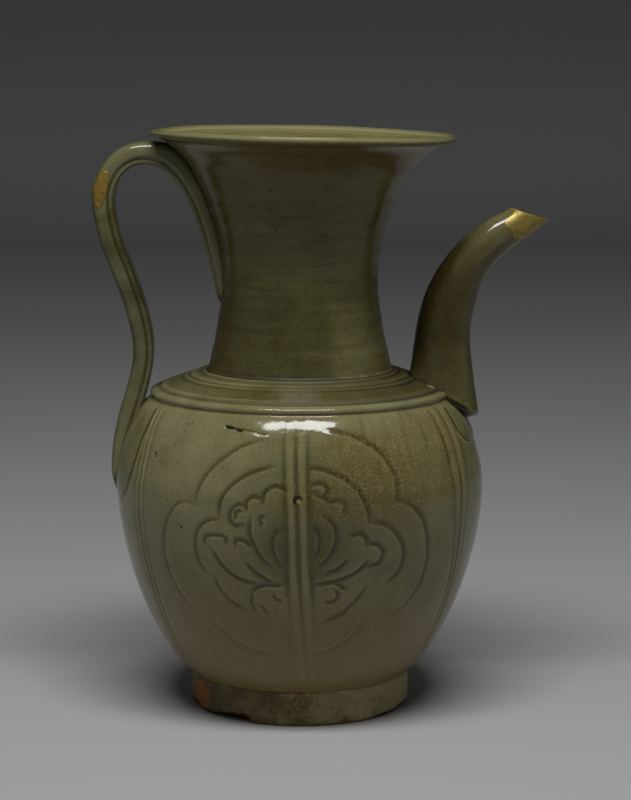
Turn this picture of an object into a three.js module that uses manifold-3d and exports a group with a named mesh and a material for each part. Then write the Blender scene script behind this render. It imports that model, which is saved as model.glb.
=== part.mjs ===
// A celadon wine jug of thrown and luted stoneware: a high foot ring, a melon-ribbed body, a trumpet
// neck, a strap handle and a curved pouring spout, with two old lacquer repairs on the spout and handle.
// Millimetres, +Z up, standing on z = 0. The spout points along +X and the handle along -X.
import * as THREE from "three";
import { mergeVertices } from "three/addons/utils/BufferGeometryUtils.js";
import Module from "manifold-3d";

const wasm = await Module();
wasm.setup();

const { degToRad, lerp, smoothstep } = THREE.MathUtils;

// Main heights above the table, and radii about the jug's axis
const footHeight = 14.3;
const bellyHeight = 93;
const ringHeight = 132.3;
const jugHeight = 240;
const footRadius = 45.8;
const bellyRadius = 76.4;
const ringRadius = 62.4;
const neckSeatRadius = 38.3;
const waistRadius = 32.4;
const lipRadius = 63.1;

// How far the handle and the spout reach from the jug's axis
const handleReach = 86.2;
const spoutReach = 102.9;

// Walls, and the clearance between pieces that are trimmed to each other
const bodyWall = 5;
const floorThickness = 6;
const neckWall = 5;
const lipThickness = 2.4;
const footWall = 7.3;
const jointGap = 0.3;

// Outline of the body: how far each curve runs on before it turns
const footFlareOut = 15.7;
const footFlareUp = 12.6;
const bellyRoundBelow = 27.7;
const bellyRoundAbove = 16.2;
const shoulderOut = 9.2;
const shoulderDrop = 6.4;

// Hollow of the body: fuller than the outside at the shoulder, and drawn in to a flat floor
const cavityRoundAbove = 22.7;
const cavityFloorInset = 15;
const cavityFloorCurve = 4.2;

// Rolled ring at the edge of the shoulder, and the plate that rises from it to the neck's seat
const ringRoll = 2.45;
const ringInset = 1.8;
const ringRollFrom = degToRad(-81);
const ringRollTo = degToRad(144);
const plateRise = 9.2;
const plateEdgeInset = 4.9;
const plateEdgeDrop = 7.9;

// Raised collars on the plate, round the foot of the neck
const collarCount = 2;
const collarPitch = 3;
const collarWidth = 2.2;
const collarRise = 0.8;
const collarInset = 2;

// Pressed ribs: each is two ridges between three grooves, and leans a little on its way down
const ribCount = 6;
const ridgePitch = 4.1;
const ridgeRise = 0.8;
const grooveDepth = 0.7;
const ribLean = 5.4;
const ribFade = 7;
const ribTopDrop = 6.3;
const ribBottomRise = 6.7;
const ribSideStations = 3;
const plainStations = 4;

// Outline of the neck, with a rounded lip
const waistShare = 0.378;
const neckFootPull = 2.1;
const neckFootRise = 9.5;
const waistRoundBelow = 10.3;
const waistRoundAbove = 20.5;
const flareOut = 19.8;
const flareDrop = 7.4;
const flareEndDrop = 2.3;
const flareEndInset = 1.3;
const lipRise = 2;
const lipBulge = 0.5;
const lipCrown = 1.4;
const rimDrop = 0.85;
const rimTilt = degToRad(1.35);
const rimShift = 1;
const rimTiltShare = 0.45;
const neckSegments = 38;

// Foot ring: its resting edge is rounded, and chipped where it was set down hard
const footEdgeRound = 1.6;
const footSegments = 54;
const chipSinkShare = 0.35;
const footChips = [
  { azimuth: 205, radius: 0.575, out: 0.3 },
  { azimuth: 221, radius: 0.89, out: 0.466 },
  { azimuth: 235, radius: 0.753, out: 0.411 },
  { azimuth: 308, radius: 0.685, out: 0.466 },
  { azimuth: 324, radius: 0.685, out: 0.438 },
];

// Handle: a strap that starts on the neck, arches past the lip and comes down on the belly. The
// stations on the neck lie at shares of its height, those on the body at shares from belly to ring,
// and their thickness and width are shares of the strap's own.
const strapWidth = 16;
const strapRoot = 2.6;
const archThickness = 9.7;
const archDrop = 6.7;
const archClearance = 1.6;
const archFall = 20.1;
const gripThickness = 8.9;
const gripRise = 15.2;
const gripOutset = 2.8;
const gripBendShare = 0.298;
const gripStraightShare = 0.392;
const handleStations = 44;
const neckLute = [
  { height: 0.306, thickness: 0.124, width: 0.6 },
  { height: 0.409, thickness: 0.433, width: 0.8 },
  { height: 0.534, thickness: 0.598, width: 0.95 },
  { height: 0.658, thickness: 0.629, width: 1 },
  { height: 0.762, thickness: 0.67, width: 1 },
  { height: 0.848, thickness: 0.742, width: 1 },
  { height: 0.938, thickness: 0.887, width: 1 },
];
const bodyLute = [
  { height: 0.636, thickness: 0.708, width: 1.02 },
  { height: 0.483, thickness: 0.584, width: 1.06 },
  { height: 0.305, thickness: 0.438, width: 1.08 },
  { height: 0.127, thickness: 0.292, width: 1 },
  { height: -0.025, thickness: 0.101, width: 0.75 },
];

// Chip on the outer front of the handle's arch, filled with lacquer
const chipDeep = 5.4;
const chipWide = 5.6;
const chipTall = 8.6;
const chipRise = 5.8;
const chipOutset = 0.4;

// Spout: a tapering tube luted over the pouring hole in the shoulder. Its stations are shares of the
// way out and up from the root to the tip, and of the radius at the root.
const spoutRootInset = 4;
const spoutRootDrop = 0.3;
const spoutRise = 71.7;
const spoutRadius = 12.5;
const spoutRootBore = 8;
const spoutTipBore = 4.1;
const boreTaperFromShare = 0.25;
const boreTaperToShare = 0.9;
const mouthSlope = degToRad(17.3);
const spoutSides = 22;
const boreSides = 16;
const spoutStations = 24;
const spoutPath = [
  { out: -0.052, up: -0.321, radius: 0.896 },
  { out: -0.027, up: -0.223, radius: 0.904 },
  { out: 0.027, up: -0.07, radius: 0.952 },
  { out: 0.025, up: 0.056, radius: 1 },
  { out: 0.02, up: 0.167, radius: 0.976 },
  { out: 0.02, up: 0.279, radius: 0.928 },
  { out: 0.043, up: 0.418, radius: 0.888 },
  { out: 0.103, up: 0.558, radius: 0.848 },
  { out: 0.204, up: 0.697, radius: 0.744 },
  { out: 0.351, up: 0.816, radius: 0.672 },
  { out: 0.53, up: 0.911, radius: 0.616 },
  { out: 0.721, up: 0.985, radius: 0.544 },
  { out: 0.854, up: 1.043, radius: 0.52 },
  { out: 1.049, up: 1.124, radius: 0.52 },
];
const tipRepairLength = 15;

// The tube's foot stands out as a thick lip, tilted to the slope of the shoulder
const footLipRadius = 15.2;
const footLipRound = 1.4;
const footLipDepth = 4;
const footLipRise = 7;
const footLipTilt = degToRad(30);
const footLipOutset = 2.6;
const footLipDrop = 3.4;

const glaze = { roughness: 0.24, metalness: 0 };
const lacquer = { color: 0x9a8440, roughness: 0.42, metalness: 0.55 };

// Places that follow from the sizes above. The origin is under the middle of the whole jug, so the
// jug's own axis lies to one side of it.
const axisX = (handleReach - spoutReach) / 2;
const neckSeatHeight = ringHeight + plateRise;
const lipHeight = jugHeight - lipRise;
const waistHeight = lerp(neckSeatHeight, lipHeight, waistShare);
const archX = lipRadius + archClearance;
const archHeight = lipHeight - archDrop - archFall;
const gripHeight = ringHeight + gripRise;
const spoutRootX = ringRadius - spoutRootInset;
const spoutRootHeight = ringHeight - spoutRootDrop;
const spoutTipHeight = spoutRootHeight + spoutRise;

function cubic(...points) {
  return new THREE.CubicBezierCurve(...points.map(([x, y]) => new THREE.Vector2(x, y)));
}

const shoulderEdge = [ringRadius - ringInset, ringHeight - ringRoll];
const bodyLower = cubic(
  [footRadius, footHeight],
  [footRadius + footFlareOut, footHeight + footFlareUp],
  [bellyRadius, bellyHeight - bellyRoundBelow],
  [bellyRadius, bellyHeight]
);
const bodyUpper = cubic(
  [bellyRadius, bellyHeight],
  [bellyRadius, bellyHeight + bellyRoundAbove],
  [shoulderEdge[0] + shoulderOut, shoulderEdge[1] - shoulderDrop],
  shoulderEdge
);

const flareEnd = [lipRadius - flareEndInset, lipHeight - flareEndDrop];
const neckLower = cubic(
  [neckSeatRadius, neckSeatHeight],
  [neckSeatRadius - neckFootPull, neckSeatHeight + neckFootRise],
  [waistRadius, waistHeight - waistRoundBelow],
  [waistRadius, waistHeight]
);
const neckUpper = cubic(
  [waistRadius, waistHeight],
  [waistRadius, waistHeight + waistRoundAbove],
  [flareEnd[0] - flareOut, flareEnd[1] - flareDrop],
  flareEnd
);

// Turns a closed geometry into a solid that can be joined and cut, without the collapsed triangles
// that a revolved outline has on its axis
function solid(geometry) {
  const bare = geometry.clone();
  bare.deleteAttribute("normal");
  bare.deleteAttribute("uv");
  const welded = mergeVertices(bare);
  const corners = welded.index.array;
  const kept = [];
  for (let t = 0; t < corners.length; t += 3) {
    const [a, b, c] = corners.slice(t, t + 3);
    if (a !== b && b !== c && c !== a) kept.push(a, b, c);
  }
  return new wasm.Manifold(new wasm.Mesh({
    numProp: 3,
    vertProperties: Float32Array.from(welded.attributes.position.array),
    triVerts: Uint32Array.from(kept),
  }));
}

function geometryOf(manifold) {
  const mesh = manifold.getMesh();
  const geometry = new THREE.BufferGeometry();
  geometry.setAttribute("position", new THREE.BufferAttribute(new Float32Array(mesh.vertProperties), 3));
  geometry.setIndex(new THREE.BufferAttribute(new Uint32Array(mesh.triVerts), 1));
  geometry.computeVertexNormals();
  return geometry;
}

// Revolves an outline about the Z axis
function revolved(outline, segments) {
  return new THREE.LatheGeometry(outline, segments).rotateX(Math.PI / 2);
}

// Skins a row of closed sections and closes both ends
function loft(sections) {
  const sides = sections[0].length;
  const positions = sections.flat().flatMap((point) => point.toArray());
  const index = [];
  for (let s = 0; s + 1 < sections.length; s += 1) {
    for (let i = 0; i < sides; i += 1) {
      const a = s * sides + i;
      const b = s * sides + ((i + 1) % sides);
      index.push(a, b, b + sides, a, b + sides, a + sides);
    }
  }
  [0, sections.length - 1].forEach((s, end) => {
    const centre = new THREE.Vector3();
    sections[s].forEach((point) => centre.addScaledVector(point, 1 / sides));
    const middle = positions.length / 3;
    positions.push(...centre.toArray());
    for (let i = 0; i < sides; i += 1) {
      const a = s * sides + i;
      const b = s * sides + ((i + 1) % sides);
      if (end) index.push(a, b, middle);
      else index.push(b, a, middle);
    }
  });
  const geometry = new THREE.BufferGeometry();
  geometry.setAttribute("position", new THREE.Float32BufferAttribute(positions, 3));
  geometry.setIndex(index);
  return geometry;
}

// The point of a rising outline at a height, with the outward normal there
function surfaceAt(lower, upper, height) {
  const curve = height < upper.v0.y ? lower : upper;
  let low = 0;
  let high = 1;
  for (let step = 0; step < 30; step += 1) {
    const middle = (low + high) / 2;
    if (curve.getPoint(middle).y < height) low = middle;
    else high = middle;
  }
  const tangent = curve.getTangent(low);
  return { point: curve.getPoint(low), normal: new THREE.Vector2(tangent.y, -tangent.x) };
}

// The plate rises from a groove beside the ring to the neck's seat, with the collars on it
function plateOutline() {
  const groove = new THREE.Vector2(ringRadius - plateEdgeInset, neckSeatHeight - plateEdgeDrop);
  const seat = new THREE.Vector2(neckSeatRadius, neckSeatHeight);
  const plate = new THREE.LineCurve(groove, seat);
  const onPlate = (radius, rise) => {
    const point = plate.getPoint((groove.x - radius) / (groove.x - seat.x));
    return new THREE.Vector2(point.x, point.y + rise);
  };
  const outline = [groove];
  for (let c = collarCount - 1; c >= 0; c -= 1) {
    const middle = neckSeatRadius + collarInset + c * collarPitch;
    outline.push(onPlate(middle + collarWidth / 2, 0));
    outline.push(onPlate(middle + collarWidth / 4, collarRise));
    outline.push(onPlate(middle - collarWidth / 4, collarRise));
    outline.push(onPlate(middle - collarWidth / 2, 0));
  }
  outline.push(seat);
  return outline;
}

function bodyOutside() {
  const ring = new THREE.EllipseCurve(
    ringRadius - ringRoll, ringHeight, ringRoll, ringRoll, ringRollFrom, ringRollTo
  );
  return [
    ...bodyLower.getPoints(10),
    ...bodyUpper.getPoints(8).slice(1),
    ...ring.getPoints(5),
    ...plateOutline(),
  ];
}

function bodyInside() {
  const neckBore = neckSeatRadius - neckWall;
  const cavityRadius = bellyRadius - bodyWall;
  const floorHeight = footHeight + floorThickness;
  const shoulder = cubic(
    [neckBore, neckSeatHeight - bodyWall],
    [ringRadius - bodyWall, ringHeight - bodyWall / 2],
    [cavityRadius, bellyHeight + cavityRoundAbove],
    [cavityRadius, bellyHeight]
  );
  const bowl = cubic(
    [cavityRadius, bellyHeight],
    [cavityRadius, bellyHeight - bellyRoundBelow],
    [footRadius + footFlareOut - bodyWall, floorHeight + cavityFloorCurve],
    [footRadius - cavityFloorInset, floorHeight]
  );
  return [
    new THREE.Vector2(neckBore, neckSeatHeight),
    ...shoulder.getPoints(5),
    ...bowl.getPoints(6).slice(1),
    new THREE.Vector2(0, floorHeight),
  ];
}

// Rise of a rib at a half step from its middle: groove, ridge, groove and then the plain wall
function ribRelief(place, height) {
  const relief = [-grooveDepth, ridgeRise, -grooveDepth, 0][Math.abs(place)];
  const top = ringHeight - ribTopDrop;
  const bottom = footHeight + ribBottomRise;
  const fade = smoothstep(height, bottom, bottom + ribFade) * (1 - smoothstep(height, top - ribFade, top));
  return relief * fade;
}

// The body is revolved, and then its columns move to the ribs' ridges and grooves
function ribbedBody() {
  const outside = bodyOutside();
  const outline = [new THREE.Vector2(0, footHeight), ...outside, ...bodyInside()];
  const perRib = 2 * ribSideStations + 1 + plainStations;
  const geometry = new THREE.LatheGeometry(outline, ribCount * perRib);
  const position = geometry.attributes.position;
  const step = ridgePitch / 2;
  const pitchAngle = (2 * Math.PI) / ribCount;
  for (let v = 0; v < position.count; v += 1) {
    const column = Math.floor(v / outline.length) % (ribCount * perRib);
    const row = v % outline.length;
    const { x: radius, y: height } = outline[row];
    const place = column % perRib - ribSideStations;
    const roundness = Math.max(radius, neckSeatRadius);
    const halfAngle = (ribSideStations * step) / roundness;
    let angle = (place * step) / roundness;
    if (place > ribSideStations) {
      const share = (place - ribSideStations) / (plainStations + 1);
      angle = halfAngle + share * (pitchAngle - 2 * halfAngle);
    }
    const onRib = row > 0 && row <= outside.length && place <= ribSideStations;
    const reach = radius + (onRib ? ribRelief(place, height) : 0);
    const lean = (ribLean / bellyRadius) * (ringHeight - height) / (ringHeight - footHeight);
    const turn = Math.floor(column / perRib) * pitchAngle + angle + lean;
    position.setXYZ(v, reach * Math.sin(turn), height, reach * Math.cos(turn));
  }
  return geometry.rotateX(Math.PI / 2);
}

// Moves an outline that runs up the outside of a piece outwards by the joint's gap
function grown(outline) {
  return outline.map((point, i) => {
    const before = outline[Math.max(i - 1, 0)];
    const after = outline[Math.min(i + 1, outline.length - 1)];
    const along = after.clone().sub(before).normalize();
    return new THREE.Vector2(point.x + along.y * jointGap, point.y - along.x * jointGap);
  });
}

// The solid that the spout and handle are trimmed to: the body's outside, a joint's gap larger
function bodyTrimmer() {
  const outline = grown(bodyOutside());
  const top = new THREE.Vector2(0, outline[outline.length - 1].y);
  return solid(revolved([new THREE.Vector2(0, footHeight), ...outline, top], ribCount * 12));
}

function neckOutside() {
  const lip = cubic(
    flareEnd,
    [lipRadius + lipBulge, lipHeight - lipBulge],
    [lipRadius, jugHeight],
    [lipRadius - lipCrown, jugHeight]
  );
  return [...neckLower.getPoints(7), ...neckUpper.getPoints(12).slice(1), ...lip.getPoints(4).slice(1)];
}

function neckInside() {
  const rimRadius = lipRadius - lipThickness;
  const rimHeight = jugHeight - rimDrop;
  const boreRadius = waistRadius - neckWall;
  const seatBore = neckSeatRadius - neckWall;
  const flare = cubic(
    [rimRadius, rimHeight],
    [rimRadius - flareOut, rimHeight - flareDrop],
    [boreRadius, waistHeight + waistRoundAbove],
    [boreRadius, waistHeight]
  );
  const throat = cubic(
    [boreRadius, waistHeight],
    [boreRadius, waistHeight - waistRoundBelow],
    [seatBore - neckFootPull, neckSeatHeight + neckFootRise],
    [seatBore, neckSeatHeight]
  );
  return [...flare.getPoints(8), ...throat.getPoints(5).slice(1)];
}

// The lip sits a little to one side and dips towards the spout
function leanRim(geometry) {
  const position = geometry.attributes.position;
  const start = lerp(waistHeight, lipHeight, rimTiltShare);
  for (let v = 0; v < position.count; v += 1) {
    const x = position.getX(v);
    const z = position.getZ(v);
    const share = smoothstep(z, start, lipHeight);
    position.setX(v, x + share * rimShift);
    position.setZ(v, z - share * x * Math.tan(rimTilt));
  }
  return geometry;
}

function neckGeometry() {
  const outline = [...neckOutside(), ...neckInside()];
  outline.push(outline[0]);
  return leanRim(revolved(outline, neckSegments));
}

function neckTrimmer() {
  const outline = grown(neckOutside());
  outline.unshift(new THREE.Vector2(0, neckSeatHeight));
  outline.push(new THREE.Vector2(0, jugHeight));
  return solid(leanRim(revolved(outline, neckSegments)));
}

// The foot ring is turned, and each chip is a scoop out of its resting edge
function footGeometry() {
  const inner = footRadius - footWall;
  const edge = new THREE.EllipseCurve(
    footRadius - footEdgeRound, footEdgeRound, footEdgeRound, footEdgeRound, -Math.PI / 2, 0
  );
  const outline = [
    new THREE.Vector2(inner + footEdgeRound, 0),
    ...edge.getPoints(2),
    new THREE.Vector2(footRadius, footHeight),
    new THREE.Vector2(inner - footEdgeRound, footHeight),
    new THREE.Vector2(inner, footHeight - 2 * footEdgeRound),
    new THREE.Vector2(inner, footEdgeRound),
    new THREE.Vector2(inner + footEdgeRound, 0),
  ];
  let ring = solid(revolved(outline, footSegments));
  footChips.forEach(({ azimuth, radius, out }) => {
    const angle = degToRad(azimuth);
    const reach = footRadius + out * footWall;
    const scoop = new THREE.IcosahedronGeometry(radius * footWall, 1)
      .rotateZ(angle)
      .translate(reach * Math.cos(angle), reach * Math.sin(angle), -chipSinkShare * radius * footWall);
    ring = ring.subtract(solid(scoop));
  });
  return geometryOf(ring);
}

// Half the strap's section, in shares of its width and thickness: a crowned outer band with a shallow
// groove on each side, a deeper groove along the edge and a narrower inner band
const strapSection = [
  [0, 0.5], [0.14, 0.43], [0.3, 0.46], [0.43, 0.33], [0.5, 0.08],
  [0.41, -0.14], [0.45, -0.3], [0.36, -0.5], [0, -0.5],
];

// Each station has the strap's middle, how far it reaches outwards and inwards from there, and its width
function strapStations() {
  const stations = [];
  neckLute.forEach(({ height, thickness, width }) => {
    const surface = surfaceAt(neckLower, neckUpper, lerp(neckSeatHeight, lipHeight, height));
    const half = thickness * archThickness / 2;
    const middle = surface.point.addScaledVector(surface.normal, jointGap + half);
    stations.push({ x: -middle.x, z: middle.y, outer: half + jointGap + strapRoot, inner: half, width });
  });
  const archHalf = archThickness / 2;
  const crown = new THREE.EllipseCurve(
    archX, archHeight, handleReach - archHalf - archX, archFall, Math.PI / 2, 0, true
  );
  crown.getPoints(4).forEach((point) => {
    stations.push({ x: -point.x, z: point.y, outer: archHalf, inner: archHalf, width: 1 });
  });
  const gripLength = archHeight - gripHeight;
  const grip = cubic(
    [handleReach - archHalf, archHeight],
    [handleReach - archHalf, archHeight - gripBendShare * gripLength],
    [ringRadius + gripOutset, gripHeight + gripStraightShare * gripLength],
    [ringRadius + gripOutset, gripHeight]
  );
  grip.getPoints(4).slice(1).forEach((point, i) => {
    const half = lerp(archThickness, gripThickness, (i + 1) / 4) / 2;
    stations.push({ x: -point.x, z: point.y, outer: half, inner: half, width: 1 });
  });
  bodyLute.forEach(({ height, thickness, width }) => {
    const surface = surfaceAt(bodyLower, bodyUpper, lerp(bellyHeight, ringHeight, height));
    const half = thickness * gripThickness / 2;
    const middle = surface.point.addScaledVector(surface.normal, jointGap + half);
    stations.push({ x: -middle.x, z: middle.y, outer: half, inner: half + jointGap + strapRoot, width });
  });
  return stations;
}

// The strap runs into the neck and the belly, and is trimmed to both
function strapSolid() {
  const stations = strapStations();
  const path = new THREE.CatmullRomCurve3(
    stations.map(({ x, z }) => new THREE.Vector3(x, 0, z)), false, "centripetal"
  );
  const size = new THREE.CatmullRomCurve3(
    stations.map(({ outer, inner, width }) => new THREE.Vector3(outer, inner, width * strapWidth)),
    false, "catmullrom"
  );
  const half = strapSection.slice(1, -1);
  const outline = [...strapSection, ...half.reverse().map(([w, u]) => [-w, u])];
  const sections = [];
  for (let s = 0; s <= handleStations; s += 1) {
    const place = s / handleStations;
    const centre = path.getPoint(place);
    const along = path.getTangent(place);
    const outward = new THREE.Vector3(along.z, 0, -along.x);
    const { x: outer, y: inner, z: width } = size.getPoint(place);
    sections.push(outline.map(([w, u]) => centre.clone()
      .addScaledVector(outward, (u + 0.5) * (outer + inner) - inner)
      .add(new THREE.Vector3(0, w * width, 0))));
  }
  return solid(loft(sections)).subtract(neckTrimmer()).subtract(bodyTrimmer());
}

// The lost chip, larger all round by the given clearance
function handleChip(clearance) {
  const chip = new THREE.IcosahedronGeometry(1, 2)
    .scale(chipDeep + clearance, chipWide + clearance, chipTall + clearance)
    .translate(chipOutset - handleReach, chipOutset - strapWidth / 2, archHeight + chipRise);
  return solid(chip);
}

// A round tube on the spout's path
function spoutTube(radiusAt, sides) {
  const points = spoutPath.map(({ out, up }) => new THREE.Vector3(
    lerp(spoutRootX, spoutReach, out), 0, lerp(spoutRootHeight, spoutTipHeight, up)
  ));
  const path = new THREE.CatmullRomCurve3(points, false, "centripetal");
  const sections = [];
  for (let s = 0; s <= spoutStations; s += 1) {
    const place = s / spoutStations;
    const centre = path.getPoint(place);
    const along = path.getTangent(place);
    const across = new THREE.Vector3(along.z, 0, -along.x);
    const radius = radiusAt(place);
    const ring = [];
    for (let i = 0; i < sides; i += 1) {
      const turn = (i / sides) * 2 * Math.PI;
      ring.push(centre.clone()
        .addScaledVector(across, radius * Math.cos(turn))
        .add(new THREE.Vector3(0, radius * Math.sin(turn), 0)));
    }
    sections.push(ring);
  }
  return solid(loft(sections));
}

function spoutOutside() {
  const radii = new THREE.CatmullRomCurve3(
    spoutPath.map(({ radius }) => new THREE.Vector3(radius * spoutRadius, 0, 0)), false, "catmullrom"
  );
  return spoutTube((place) => radii.getPoint(place).x, spoutSides);
}

function spoutBore() {
  return spoutTube((place) => (
    lerp(spoutRootBore, spoutTipBore, smoothstep(place, boreTaperFromShare, boreTaperToShare))
  ), boreSides);
}

function spoutFootLip() {
  const inner = spoutRadius - 1;
  const round = new THREE.EllipseCurve(
    footLipRadius - footLipRound, footLipRound / 2, footLipRound, footLipRound, -Math.PI / 3, Math.PI / 3
  );
  const lip = revolved([
    new THREE.Vector2(0, -footLipDepth),
    new THREE.Vector2(inner, -footLipDepth),
    ...round.getPoints(3),
    new THREE.Vector2(spoutRadius, footLipRise),
    new THREE.Vector2(0, footLipRise),
  ], spoutSides);
  lip.rotateY(footLipTilt);
  return solid(lip.translate(spoutRootX + footLipOutset, 0, spoutRootHeight - footLipDrop));
}

// A block that fills the far side of a plane through a point in the plane of handle and spout
function blockBeyond(x, height, slope) {
  const size = jugHeight / 2;
  const block = new THREE.BoxGeometry(size, size, size).translate(0, 0, size / 2);
  block.rotateY(slope);
  return solid(block.translate(x, 0, height));
}

function spoutSolid() {
  return spoutOutside()
    .add(spoutFootLip())
    .subtract(bodyTrimmer())
    .subtract(spoutBore())
    .subtract(blockBeyond(spoutReach, spoutTipHeight, mouthSlope));
}

// The lost tip, from a plane square to the tube, which lies farther out by the given clearance
function lostTip(clearance) {
  const end = spoutPath[spoutPath.length - 1];
  const before = spoutPath[spoutPath.length - 3];
  const run = (end.out - before.out) * (spoutReach - spoutRootX);
  const rise = (end.up - before.up) * spoutRise;
  const along = new THREE.Vector2(run, rise).normalize();
  const back = tipRepairLength - clearance;
  const topEdge = spoutTipHeight + end.radius * spoutRadius;
  return blockBeyond(spoutReach - along.x * back, topEdge - along.y * back, Math.atan2(run, rise));
}

function mesh(name, geometry, color, finish = glaze) {
  const piece = new THREE.Mesh(geometry, new THREE.MeshStandardMaterial({ color, ...finish }));
  piece.name = name;
  return piece;
}

const jug = new THREE.Group();
jug.position.x = axisX;

jug.add(mesh("foot_ring", footGeometry(), 0x5c563a));
jug.add(mesh("body", geometryOf(solid(ribbedBody()).subtract(spoutBore())), 0x6f6c4e));
jug.add(mesh("neck", geometryOf(solid(neckGeometry())), 0x6a6749));

const strap = strapSolid();
jug.add(mesh("handle", geometryOf(strap.subtract(handleChip(jointGap))), 0x6b684b));
jug.add(mesh("handle_repair", geometryOf(strap.intersect(handleChip(0))), lacquer.color, lacquer));

const spout = spoutSolid();
jug.add(mesh("spout", geometryOf(spout.subtract(lostTip(0))), 0x69664a));
jug.add(mesh("spout_tip_repair", geometryOf(spout.intersect(lostTip(jointGap))), lacquer.color, lacquer));

const origin = new THREE.Group();
origin.add(jug);
export default origin;
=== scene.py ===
import math

import bpy
import numpy as np
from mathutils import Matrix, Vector
from mathutils.kdtree import KDTree


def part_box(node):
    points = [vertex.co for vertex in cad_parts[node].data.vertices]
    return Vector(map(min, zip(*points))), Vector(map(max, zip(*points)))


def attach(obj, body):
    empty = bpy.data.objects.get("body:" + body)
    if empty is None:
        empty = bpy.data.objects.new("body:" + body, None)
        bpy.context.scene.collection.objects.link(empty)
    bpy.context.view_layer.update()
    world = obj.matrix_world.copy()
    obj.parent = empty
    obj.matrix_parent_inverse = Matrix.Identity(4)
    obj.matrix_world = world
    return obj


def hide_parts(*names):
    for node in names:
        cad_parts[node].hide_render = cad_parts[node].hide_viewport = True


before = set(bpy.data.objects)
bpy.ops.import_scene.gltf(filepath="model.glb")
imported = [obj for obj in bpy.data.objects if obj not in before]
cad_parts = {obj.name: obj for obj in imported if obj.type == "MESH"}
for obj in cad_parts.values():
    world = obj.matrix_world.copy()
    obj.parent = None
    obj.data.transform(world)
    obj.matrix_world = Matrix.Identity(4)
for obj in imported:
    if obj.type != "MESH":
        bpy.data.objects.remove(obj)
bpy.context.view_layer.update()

# A celadon wine jug. Shapes are worked out in millimetres about the jug's own axis, and place() moves
# them into the frame, in metres. The camera looks along +Y and the spout points along +X.
MM = 0.001
foot_low, foot_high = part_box("foot_ring")
neck_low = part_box("neck")[0]
AXIS_X = (foot_low[0] + foot_high[0]) / 2 / MM

# Heights above the table
FOOT_TOP = foot_high[2] / MM
BELLY_Z = 93
RING_Z = 132.3
SEAT_Z = neck_low[2] / MM
WAIST_Z = 178
LIP_Z = 238
TOP_Z = 240

# Radii about the jug's axis, and walls
FOOT_R = (foot_high[0] - foot_low[0]) / 2 / MM
BELLY_R = 76.4
RING_R = 62.4
SEAT_R = 38.3
WAIST_R = 32.4
LIP_R = 63.1
WALL = 5
FLOOR = 6
LIP_THICK = 2.4
FOOT_WALL = 7.3

# Ribs: two ridges between three grooves, six times round the body
RIBS = 6
RIDGE_PITCH = 4.1
RIB_TOP = 128
RIB_BOTTOM = 19
# How far each rib wanders from its meridian at a height, and how wide it is there; the rest follow the
# plain lean and width
RIB_LEAN = [(15, 4.2), (28, 2.8), (41, 1.5), (52, 0.7), (72, -0.6), (95, -1.1), (111, -1.7), (130, -1.8)]
RIB_WIDTH = [(20, 0.9), (60, 1), (100, 1.15), (128, 1.2)]
RIB_LINES = {
    0: (RIB_LEAN, [(20, 1.15), (128, 1.15)]),
    1: ([(20, 2.5), (40, 2.2), (50, 2.2), (63, 0.8), (76, -1.2), (86, -1.9), (95, -1.4), (108, 0), (122, 0.5),
         (130, 0.6)], [(20, 0.75), (63, 0.8), (76, 0.95), (95, 1.35), (108, 1.6), (128, 1.6)]),
    5: ([(20, 1.5), (34, 0.9), (44, 0.9), (57, 1.7), (69, 1.9), (81, 1.5), (90, 1.5), (104, 1.5), (117, 0.1),
         (126, -2.1), (130, -2.6)], [(20, 0.8), (60, 0.85), (128, 0.85)]),
}

# Rim
RIM_TILT = math.radians(1.35)
RIM_SHIFT = 1
RIM_TILT_START = 205


def bezier(points, count):
    """A cubic Bezier curve with four control points, as count samples."""
    p = np.array(points, float)
    t = np.linspace(0, 1, count)[:, None]
    return (1 - t) ** 3 * p[0] + 3 * (1 - t) ** 2 * t * p[1] + 3 * (1 - t) * t ** 2 * p[2] + t ** 3 * p[3]


def smoothstep(x, low, high):
    t = np.clip((np.asarray(x, float) - low) / (high - low), 0, 1)
    return t * t * (3 - 2 * t)


def plateau(x, rise_start, rise_end, fall_start, fall_end):
    """1 between the two ends, and smoothly 0 past them."""
    return smoothstep(x, rise_start, rise_end) * (1 - smoothstep(x, fall_start, fall_end))


def bell(x, middle, wide, power=2):
    """1 at the middle, smoothly falling to 0 past the width to either side; flatter with a higher power."""
    return np.exp(-((x - middle) / wide) ** power)


def turn_from(angle, middle):
    """An angle measured from a middle one, within half a turn to either side."""
    return (angle - middle + math.pi) % (2 * math.pi) - math.pi


def catmull(points, count):
    """A centripetal Catmull-Rom curve through the points, as count samples of every column."""
    p = np.array(points, float)
    p = np.vstack([2 * p[0] - p[1], p, 2 * p[-1] - p[-2]])
    gaps = np.maximum(np.linalg.norm(np.diff(p[:, :2], axis=0), axis=1) ** 0.5, 1e-6)
    spans = len(p) - 3
    out = []
    for place in np.linspace(0, spans, count):
        i = min(int(place), spans - 1)
        u = place - i
        knots = np.concatenate([[0], np.cumsum(gaps[i:i + 3])])
        t = knots[1] + u * (knots[2] - knots[1])
        a = [((knots[k + 1] - t) * p[i + k] + (t - knots[k]) * p[i + k + 1]) / (knots[k + 1] - knots[k])
             for k in range(3)]
        b = [((knots[k + 2] - t) * a[k] + (t - knots[k]) * a[k + 1]) / (knots[k + 2] - knots[k])
             for k in range(2)]
        out.append(((knots[2] - t) * b[0] + (t - knots[1]) * b[1]) / (knots[2] - knots[1]))
    return np.array(out)


def resample(outline, step):
    """The outline with points a steady step apart, and its two ends kept."""
    gaps = np.linalg.norm(np.diff(outline, axis=0), axis=1)
    length = np.concatenate([[0], np.cumsum(gaps)])
    count = max(int(round(length[-1] / step)), 2) + 1
    places = np.linspace(0, length[-1], count)
    return np.column_stack([np.interp(places, length, outline[:, k]) for k in range(outline.shape[1])])


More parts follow.
